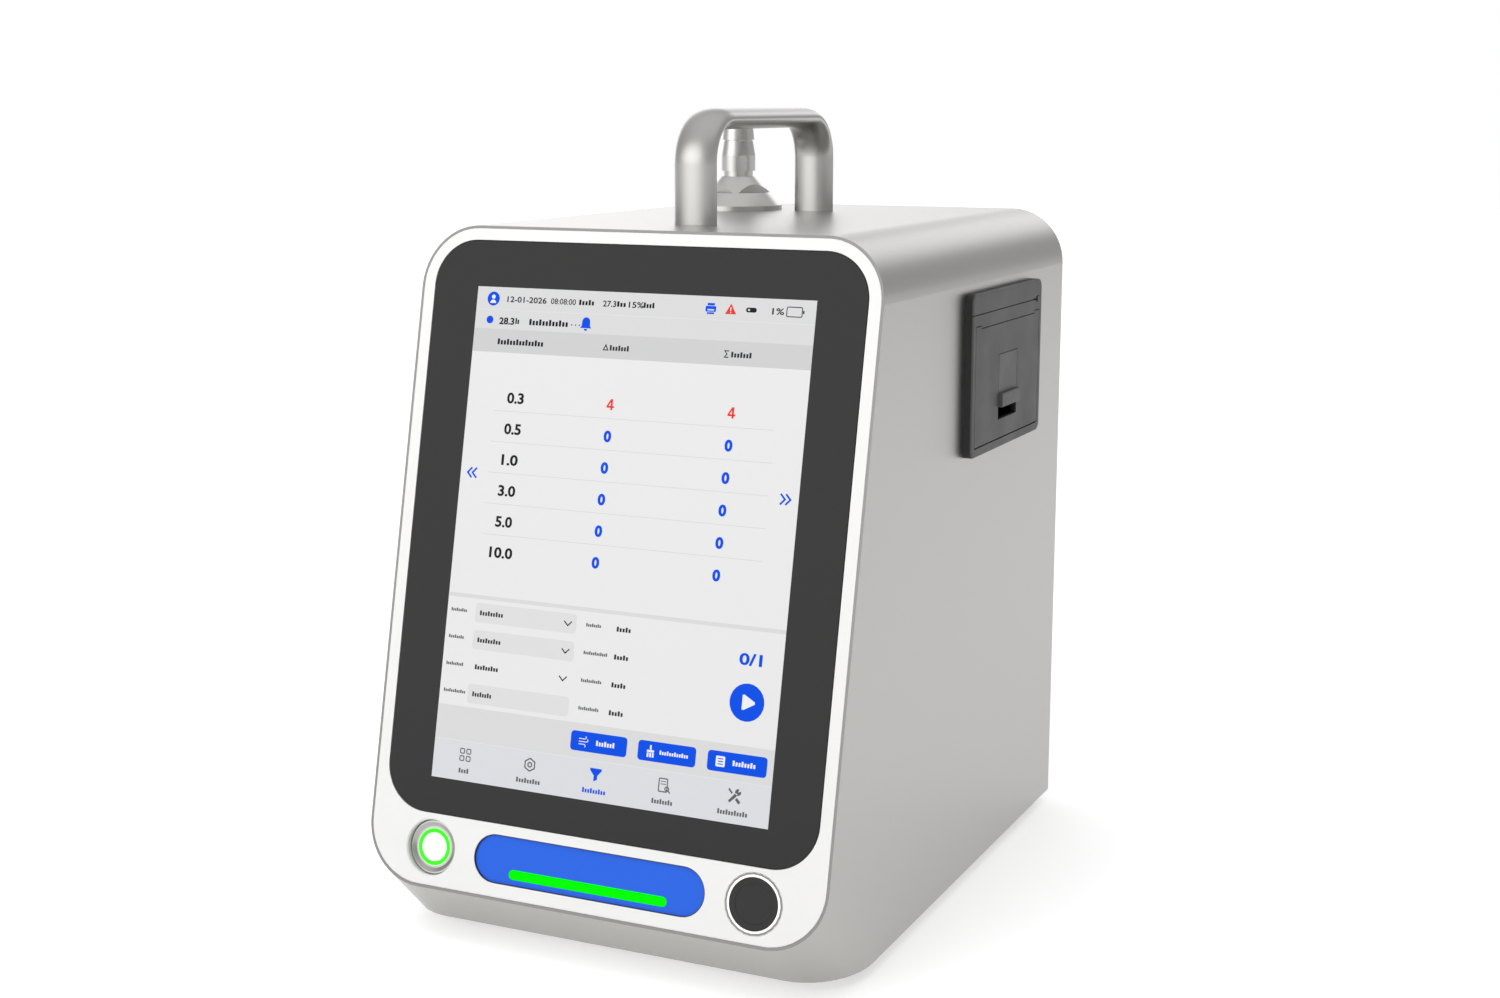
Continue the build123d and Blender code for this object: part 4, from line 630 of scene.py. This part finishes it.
def crossed_tools(x, y):
    """A spanner and a screwdriver across each other, one in two halves."""
    spanner = stroke([(x - 2.0, y + 2.3), (x + 1.0, y - 0.9)], 0.95)
    jaw = arc(x + 1.5, y - 1.5, 1.25, -20, 290) + [(x + 1.5, y - 1.5)]
    upper = stroke([(x - 2.4, y - 2.5), (x - 0.9, y - 0.9)], 0.7)
    lower = stroke([(x + 0.85, y + 0.95), (x + 2.4, y + 2.5)], 1.1)
    return [spanner, jaw, upper, lower]


def wind(x, y):
    """Three gusts, each curling at its end."""
    gusts = []
    for dy, length, curl in ((-1.0, 2.6, -1), (0.1, 3.4, -1), (1.1, 2.4, 1)):
        end = x - 1.9 + length
        hook = [(end + 0.55 * cos(a), y + dy + curl * 0.55 + 0.55 * sin(a)) for a in (
            -curl * pi / 2 * (1 - k / 3) for k in range(1, 6)
        )]
        gusts.append(stroke([(x - 1.9, y + dy), (end, y + dy)] + hook, 0.3))
    return gusts


def brush(x, y):
    handle = box(x - 0.35, y - 2.3, x + 0.35, y - 0.6)
    head = [(x - 1.5, y - 0.45), (x + 1.5, y - 0.45), (x + 1.5, y + 0.4), (x - 1.5, y + 0.4)]
    tufts = [
        box(x + dx - 0.38, y + 0.6, x + dx + 0.38, y + 2.3) for dx in (-1.1, 0.0, 1.1)
    ]
    return [handle, head, *tufts]


def list_icon(x, y):
    page = [box(x - 1.9, y - 2.0, x + 1.9, y + 2.0, 0.5)]
    return page + [box(x - 1.1, y + dy - 0.2, x + 1.1, y + dy + 0.2) for dy in (-1.0, 0.0, 1.0)]


def ground():
    """The screen's grey grounds, from the lit sheet up."""
    sheet = slab([box(0, 0, SCREEN_W, SCREEN_H)], PAPER)
    on_screen("screen_sheet", glow("screen_sheet", srgb(231, 231, 231)), [sheet])
    bars = [
        box(0, 0, SCREEN_W, 8.95),
        box(0, 9.1, SCREEN_W, STATUS_FOOT),
        box(0, ACTIONS_TOP, SCREEN_W, NAV_TOP - 0.2),
        box(0, TABLE_FOOT, SCREEN_W, TABLE_FOOT + TABLE_RULE),
    ]
    on_screen("screen_bars", glow("screen_bars", srgb(217, 217, 218)), [slab(bars, BAND)])
    fields = [
        box(FIELD_LEFT, form[i] - FIELD_H / 2, FIELD_RIGHT, form[i] + FIELD_H / 2, CORNER)
        for i in (0, 1, 3)
    ]
    head = box(0, STATUS_FOOT, SCREEN_W, HEAD_FOOT)
    on_screen("screen_head", glow("screen_head", srgb(206, 206, 207)), [slab([head], BAND)])
    on_screen("screen_fields", glow("screen_fields", srgb(221, 221, 221)), [slab(fields, BAND)])
    nav = box(0, NAV_TOP, SCREEN_W, SCREEN_H)
    on_screen("screen_nav", glow("screen_nav", srgb(217, 219, 223)), [slab([nav], BAND)])
    rules = [
        box(RULE_LEFT, y - RULE_UP - RULE_W / 2, RULE_RIGHT, y - RULE_UP + RULE_W / 2)
        for y in rows[1:]
    ]
    on_screen("screen_rules", glow("screen_rules", srgb(212, 212, 214)), [slab(rules, BAND)])


def blacks():
    """Dark digits, and the bold print beside them."""
    table = [
        digits(text, SIZE_X, y, width, DIGIT_H, MARK, SIZE_WEIGHT)
        for text, y, width in zip(SIZES, rows, SIZE_WIDTHS)
    ]
    small = (
        ("12-01-2026", 14.0, STATUS_Y, 17.9, 2.35, 0.05),
        ("08:08:00", 33.9, STATUS_Y, 11.2, 2.35, 0.02),
        ("27.3", 57.2, STATUS_Y, 5.8, 2.35, 0.05),
        ("15%", 68.5, STATUS_Y, 6.5, 2.35, 0.05),
        ("1%", 129.2, STATUS_Y, 4.9, 2.5, 0.05),
        ("28.3", 11.2, STATE_Y, 6.9, 2.7, 0.11),
    )
    status = [
        digits(text, x, y, width, height, MARK, weight, "LEFT")
        for text, x, y, width, height, weight in small
    ]
    bold = words(
        (11.4, 21.6, 21.2, 2.3), (18.6, 13.2, 2.0, 2.3), (25.0, STATE_Y, 17.9, 2.4),
        (46.6, STATUS_Y, 7.0, 2.1), (63.4, STATUS_Y, 4.2, 2.1), (75.0, STATUS_Y, 5.0, 2.1),
    )
    pill = [box(118.4, 3.7, 122.8, 5.5, 0.85), disc(119.6, STATUS_Y, 0.45)]
    dots = [disc(x, 13.6, 0.28) for x in (44.2, 45.9, 47.6)]
    carets = [
        stroke([(53.4, y - 0.8), (55.1, y + 0.9), (56.8, y - 0.8)], 0.45) for y in form[:3]
    ]
    battery = line_box(135.0, 2.65, 141.6, 6.6, 0.7, 0.34) + [box(141.75, 4.0, 142.3, 5.2)]
    shapes = slab(bold + pill + dots + carets + battery, MARK)
    on_screen("screen_digits", glow("screen_black", srgb(34, 34, 36)), table + status + [shapes])


def greys():
    """Smaller print, and the icons of the bottom bar."""
    delta = [
        [(58.9, 22.8), (60.2, 20.2), (61.5, 22.8)],
        [(59.55, 22.4), (60.2, 21.2), (60.85, 22.4)],
    ]
    zigzag = [(112.9, 20.4), (111.2, 20.4), (112.2, 21.6), (111.2, 22.8), (112.9, 22.8)]
    total = [stroke(zigzag, 0.4)]
    values = [(15.2, y, 10.9, 1.9) for y in form[:3]] + [(15.2, form[3], 9.0, 1.9)]
    hints = [(76.6, y, 6.4, 1.9) for y in form]
    print_rows = words((62.0, 21.7, 8.7, 2.1), (114.0, 21.7, 8.8, 2.1), *values, *hints)
    marks = slab(delta + total + print_rows, MARK)
    on_screen("screen_words", glow("screen_grey", srgb(52, 52, 54)), [marks])
    labels = [(1.9, y - 0.3, width, 1.35) for y, width in zip(form, (7.4, 7.1, 8.0, 10.2))]
    labels += [(63.2, y - 0.3, width, 1.35) for y, width in zip(form, (6.7, 10.5, 9.1, 9.0))]
    labels += [
        (x - width / 2, NAV_WORD_Y, width, 1.9)
        for x, width in zip(NAV_XS, (4.8, 11.0, 0, 9.1, 12.6)) if width
    ]
    icons = tiles(NAV_XS[0], NAV_ICON_Y) + gear(NAV_XS[1], NAV_ICON_Y)
    icons += report_icon(NAV_XS[3], NAV_ICON_Y)
    icons += crossed_tools(NAV_XS[4], NAV_ICON_Y)
    lens = magnifier(NAV_XS[3] + 1.4, NAV_ICON_Y + 1.3)
    on_screen(
        "screen_icons", glow("screen_mid_grey", srgb(100, 100, 103)),
        [slab(words(*labels) + icons, MARK), slab(lens, MARK + 0.01)],
    )


def colours():
    """Blue and red marks."""
    counts = [
        digits("0", x, y, DIGIT_W, DIGIT_H, MARK, COUNT_WEIGHT) for x in COUNT_XS for y in rows[1:]
    ]
    tally = digits("0/1", PLAY[0], 134.6, 9.4, 4.4, MARK, 0.16)
    marks = [disc(7.6, 4.7, 2.8), disc(6.8, 13.1, 1.55)]
    marks += chevrons(5.4, 74.3, -1) + chevrons(141.6, 74.3, 1)
    marks += printer_icon(103.7, 4.7) + bell(50.5, 12.7) + funnel(NAV_XS[2], NAV_ICON_Y)
    marks += words((NAV_XS[2] - 5.2, NAV_WORD_Y, 10.4, 1.9)) + [disc(*PLAY, 7.1)]
    marks += [
        box(left, ACTION_TOP, left + ACTION_W, ACTION_TOP + ACTION_H, CORNER)
        for left in ACTION_LEFTS
    ]
    shapes = counts + [tally, slab(marks, MARK)]
    on_screen("screen_blue", glow("screen_blue", srgb(12, 80, 228)), shapes)
    warning = [[(112.1, 2.5), (114.4, 6.5), (109.8, 6.5)]]
    alarms = [outline for x in COUNT_XS for outline in four(x, rows[0])]
    on_screen("screen_red", glow("screen_red", srgb(232, 60, 48)), [slab(warning + alarms, MARK)])


def inlays():
    """White marks on the blue and red ones."""
    play = [[
        (131.9, 148.0), (132.6, 147.8), (137.1, 150.3),
        (137.1, 151.1), (132.6, 153.6), (131.9, 153.4),
    ]]
    sign = [box(111.9, 3.9, 112.3, 5.3), disc(112.1, 5.85, 0.24)]
    middle = ACTION_TOP + ACTION_H / 2
    buttons = wind(ACTION_LEFTS[0] + 5.5, middle) + brush(ACTION_LEFTS[1] + 5.4, middle)
    buttons += list_icon(ACTION_LEFTS[2] + 5.4, middle)
    captions = words(
        (ACTION_LEFTS[0] + 11.2, middle, 8.3, 2.0),
        (ACTION_LEFTS[1] + 9.3, middle, 12.3, 1.6),
        (ACTION_LEFTS[2] + 10.5, middle, 9.7, 2.0),
    )
    shapes = slab(play + sign + buttons + captions + person(7.6, 4.7), INLAY)
    on_screen("screen_white", glow("screen_white", srgb(236, 238, 242)), [shapes])


ground()
blacks()
greys()
colours()
inlays()

# ---------------------------------------------------------------------------
# Small rings and lines round the controls, and painted shade in the lens's recess
# ---------------------------------------------------------------------------

LENS_FLANGE = 2.2       # how far the lens's hidden flange reaches past its face
RECESS_SHADE_W = 0.3
LENS_STEP = 0.8
LENS_CLEAR = 0.1        # between the lens's edge and its band of painted shade
READER_R = 11.65
GROOVE_W = 0.75
LED_OUT = 7.3
DISH_TOP = -2.95        # height over the panel of the button's dished floor
OUTLINE_W = 0.35


def middle_of(node):
    """A node's middle on the front panel, as a place on the screen."""
    across = sum(extent(node, ACROSS)) / 2 - SCREEN_CORNER.dot(ACROSS)
    down = SCREEN_CORNER.dot(UP_SLOPE) - sum(extent(node, UP_SLOPE)) / 2
    return across / MM, down / MM


def trim(name, material, outlines, low, high):
    """A thin line let into the panel, between two heights over it."""
    mesh = slab(outlines, high - low)
    mesh.transform(Matrix.Translation((0, 0, low)))
    on_screen(name, material, [mesh])


def annulus(node, outer, inner):
    x, y = middle_of(node)
    return [arc(x, y, outer, 0, 355), arc(x, y, inner, 0, 355)]


def control_trims():
    groove = annulus("fingerprint_bezel", READER_R, READER_R - GROOVE_W)
    trim("reader_groove", GROOVE_GREY, groove, -0.05, 0.02)
    outline = annulus("power_button_led_ring", LED_OUT + OUTLINE_W, LED_OUT)
    trim("led_outline", WHITE_EDGE, outline, DISH_TOP, DISH_TOP + 0.1)
    x, y = middle_of("status_lens")
    left, right = (reach / MM for reach in extent("status_lens", ACROSS))
    half = (right - left) / 2 - LENS_FLANGE + LENS_CLEAR
    low, high = (reach / MM for reach in extent("status_lens", UP_SLOPE))
    rise = (high - low) / 2 - LENS_FLANGE + LENS_CLEAR
    # A black band over the lens's recess walls: painted shade where the recess is in shade.
    wall = [
        box(x - span, y - lift, x + span, y + lift, lift - 0.01)
        for span, lift in ((half, rise), (half - RECESS_SHADE_W, rise - RECESS_SHADE_W))
    ]
    trim("lens_recess_shade", RECESS_SHADE_BLACK, wall, -LENS_STEP, -0.08)


control_trims()

# ---------------------------------------------------------------------------
# Screws with hexagon sockets
# ---------------------------------------------------------------------------

SCREW_SIDES = 36
HEAD_TOP = 0.7          # shares of a head's radius: its flat top, and half its socket across flats
SOCKET_FLAT = 0.42
SOCKET_DEPTH = 0.6      # share of a head's height
SMOOTH_BELOW = radians(30)


def screws_of(node):
    """The lowest and highest corners of each screw in a node, in the order of its vertices."""
    shape = bmesh.new()
    shape.from_mesh(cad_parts[node].data)
    bmesh.ops.remove_doubles(shape, verts=shape.verts, dist=0.001 * MM)
    seen = set()
    screws = []
    for first in shape.verts:
        if first in seen:
            continue
        seen.add(first)
        group = [first]
        for vertex in group:
            for edge in vertex.link_edges:
                other = edge.other_vert(vertex)
                if other not in seen:
                    seen.add(other)
                    group.append(other)
        low = Vector(min(v.co[axis] for v in group) for axis in range(3))
        high = Vector(max(v.co[axis] for v in group) for axis in range(3))
        screws.append((low, high))
    shape.free()
    return screws


def add_screw(shape, seat, out, head_r, head_h, shank_r, length):
    """One closed screw whose head sits on the seat and points out."""

    def socket(turn):
        return SOCKET_FLAT * head_r / cos(turn % (pi / 3) - pi / 6)

    rings = (
        (-length, shank_r), (0, shank_r), (0, head_r), (head_h / 2, head_r),
        (head_h, head_r * HEAD_TOP), (head_h, socket), (head_h * (1 - SOCKET_DEPTH), socket),
    )
    side = out.orthogonal().normalized()
    other = out.cross(side)
    before = None
    for height, reach in rings:
        ring = []
        for i in range(SCREW_SIDES):
            turn = 2 * pi * i / SCREW_SIDES
            radius = reach(turn) if callable(reach) else reach
            spoke = side * cos(turn) + other * sin(turn)
            ring.append(shape.verts.new(seat + out * height + spoke * radius))
        if before:
            for i in range(SCREW_SIDES):
                shape.faces.new((before[i - 1], before[i], ring[i], ring[i - 1]))
        else:
            shape.faces.new(ring)
        before = ring
    shape.faces.new(before)


def socket_screws(name, node, out, shank_r, heads):
    """Screws in place of a node's plain ones. Heads pairs each radius with its height, in mm."""
    out = Vector(out)
    axis = max(range(3), key=lambda i: abs(out[i]))
    across = (axis + 1) % 3
    shape = bmesh.new()
    for low, high in screws_of(node):
        head_r = (high[across] - low[across]) / 2
        head_h = min(heads, key=lambda pair: abs(pair[0] * MM - head_r))[1] * MM
        top = (low + high) / 2
        top[axis] = high[axis] if out[axis] > 0 else low[axis]
        length = high[axis] - low[axis] - head_h
        add_screw(shape, top - out * head_h, out, head_r, head_h, shank_r * MM, length)
    bmesh.ops.recalc_face_normals(shape, faces=shape.faces)
    mesh = bpy.data.meshes.new(name)
    shape.to_mesh(mesh)
    shape.free()
    mesh.shade_smooth()
    mesh.set_sharp_from_angle(angle=SMOOTH_BELOW)
    obj = bpy.data.objects.new(name, mesh)
    bpy.context.scene.collection.objects.link(obj)
    dress(obj, FASTENER_STEEL)
    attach(obj, ROOT)
    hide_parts(node)


socket_screws("rear_socket_screws", "rear_screws", (0, 1, 0), 1.5, ((2.8, 1.8), (3.4, 2.0)))
socket_screws("base_socket_screws", "base_screws", (0, 0, -1), 2.0, ((3.6, 2.2),))
socket_screws("foot_socket_screws", "foot_screws", (0, 0, -1), 2.0, ((3.4, 2.0),))

# ---------------------------------------------------------------------------
# Floor, backdrop, light and camera
# ---------------------------------------------------------------------------

FLOOR_SIZE = 12.0
FLOOR_TONE = (0.86, 0.86, 0.86, 1)
FLOOR_LIFT = 0.45       # what takes the lit floor up to white
WORLD_LEVEL = 0.387     # the studio's own level, away from its patches
WORLD_MIRRORED = 0.25   # share of the world's white that metal shows
PATCHES = (             # azimuth, elevation, edge, middle, level
    (-44, -8, 50, 8, 2.29),
    (0, 21, 15, 3, 1.80),
    (0, 90, 60, 15, 0.50),
    (-157, 12, 38, 8, 1.85),
)
KEY_AT = (-0.75, -1.47, 0.66)
KEY_AIM = (0, 0, 0.2)
KEY_SIZE = 1.2
KEY_POWER = 2
FILL_AT = (0.0, -0.45, 0.75)
FILL_AIM = (0, -0.1, 0.25)
FILL_SIZE = 0.4
FILL_POWER = 1.15


def seen_directly(tree, mirrored=1.0):
    """One for the camera and clear parts, the mirrored share for metal, nothing for other light."""
    path = tree.nodes.new("ShaderNodeLightPath")
    gloss = tree.nodes.new("ShaderNodeMath")
    gloss.operation = "MULTIPLY"
    gloss.inputs[1].default_value = mirrored
    tree.links.new(path.outputs["Is Glossy Ray"], gloss.inputs[0])
    first = tree.nodes.new("ShaderNodeMath")
    first.operation = "MAXIMUM"
    tree.links.new(path.outputs["Is Camera Ray"], first.inputs[0])
    tree.links.new(gloss.outputs["Value"], first.inputs[1])
    second = tree.nodes.new("ShaderNodeMath")
    second.operation = "MAXIMUM"
    tree.links.new(first.outputs["Value"], second.inputs[0])
    tree.links.new(path.outputs["Is Transmission Ray"], second.inputs[1])
    return second.outputs["Value"]


def make_floor():
    """A wide pale floor that goes white where nothing shades it."""
    bpy.ops.mesh.primitive_plane_add(size=FLOOR_SIZE)
    floor = bpy.context.object
    floor.name = "floor"
    material = bpy.data.materials.new("pale_floor")
    material.use_nodes = True
    tree = material.node_tree
    tree.nodes.clear()
    diffuse = tree.nodes.new("ShaderNodeBsdfDiffuse")
    diffuse.inputs["Color"].default_value = FLOOR_TONE
    lift = tree.nodes.new("ShaderNodeEmission")
    lift.inputs["Color"].default_value = (1, 1, 1, 1)
    strength = tree.nodes.new("ShaderNodeMath")
    strength.operation = "MULTIPLY"
    strength.inputs[1].default_value = FLOOR_LIFT
    tree.links.new(seen_directly(tree), strength.inputs[0])
    tree.links.new(strength.outputs["Value"], lift.inputs["Strength"])
    both = tree.nodes.new("ShaderNodeAddShader")
    tree.links.new(diffuse.outputs["BSDF"], both.inputs[0])
    tree.links.new(lift.outputs["Emission"], both.inputs[1])
    out = tree.nodes.new("ShaderNodeOutputMaterial")
    tree.links.new(both.outputs["Shader"], out.inputs["Surface"])
    dress(floor, material)


def make_world():
    """White to the camera and clear parts, partly to metal, and a soft studio to other light."""
    world = bpy.data.worlds.new("studio")
    bpy.context.scene.world = world
    world.use_nodes = True
    tree = world.node_tree
    tree.nodes.clear()
    place = tree.nodes.new("ShaderNodeTexCoord")
    out = tree.nodes.new("ShaderNodeOutputWorld")
    background = tree.nodes.new("ShaderNodeBackground")

    def lobe(azimuth, elevation, edge, middle, level):
        """A soft patch round a direction: level in its middle, nothing past its edge. Degrees."""
        turn, rise = radians(azimuth), radians(elevation)
        direction = (sin(turn) * cos(rise), cos(turn) * cos(rise), sin(rise))
        toward = tree.nodes.new("ShaderNodeVectorMath")
        toward.operation = "DOT_PRODUCT"
        toward.inputs[1].default_value = direction
        tree.links.new(place.outputs["Generated"], toward.inputs[0])
        soft = tree.nodes.new("ShaderNodeMapRange")
        soft.interpolation_type = "SMOOTHSTEP"
        soft.inputs["From Min"].default_value = cos(radians(edge))
        soft.inputs["From Max"].default_value = cos(radians(middle))
        soft.inputs["To Min"].default_value = 0
        soft.inputs["To Max"].default_value = level
        tree.links.new(toward.outputs["Value"], soft.inputs["Value"])
        return soft.outputs["Result"]

    def total(*parts):
        result = parts[0]
        for part in parts[1:]:
            add = tree.nodes.new("ShaderNodeMath")
            add.operation = "ADD"
            if isinstance(result, float):
                add.inputs[0].default_value = result
            else:
                tree.links.new(result, add.inputs[0])
            tree.links.new(part, add.inputs[1])
            result = add.outputs["Value"]
        return result

    studio = total(WORLD_LEVEL, *(lobe(*patch) for patch in PATCHES))
    mix = tree.nodes.new("ShaderNodeMix")
    mix.data_type = "FLOAT"
    tree.links.new(seen_directly(tree, WORLD_MIRRORED), mix.inputs["Factor"])
    tree.links.new(studio, mix.inputs["A"])
    mix.inputs["B"].default_value = 1.0
    tree.links.new(mix.outputs["Result"], background.inputs["Strength"])
    tree.links.new(background.outputs["Background"], out.inputs["Surface"])
    background.inputs["Color"].default_value = (1, 1, 1, 1)


def area_light(name, place, target, size, power):
    lamp = bpy.data.lights.new(name, "AREA")
    lamp.shape = "DISK"
    lamp.size = size
    lamp.energy = power
    obj = bpy.data.objects.new(name, lamp)
    bpy.context.scene.collection.objects.link(obj)
    obj.location = place
    obj.rotation_euler = (Vector(target) - Vector(place)).to_track_quat("-Z", "Y").to_euler()
    obj.visible_camera = False
    return obj


def make_camera():
    camera = bpy.data.cameras.new("camera")
    camera.lens = LENS
    camera.sensor_width = SENSOR
    camera.sensor_fit = "HORIZONTAL"
    obj = bpy.data.objects.new("camera", camera)
    bpy.context.scene.collection.objects.link(obj)
    turn = radians(CAMERA_TURN)
    dip = radians(CAMERA_DIP)
    ahead = Vector((-sin(turn) * cos(dip), cos(turn) * cos(dip), -sin(dip)))
    obj.location = CAMERA_AT
    obj.rotation_euler = ahead.to_track_quat("-Z", "Y").to_euler()
    bpy.context.scene.camera = obj


make_floor()
make_world()
area_light("key", KEY_AT, KEY_AIM, KEY_SIZE, KEY_POWER)
fill = area_light("fill", FILL_AT, FILL_AIM, FILL_SIZE, FILL_POWER)
fill.visible_glossy = False
make_camera()
bpy.context.scene.view_settings.view_transform = "Standard"
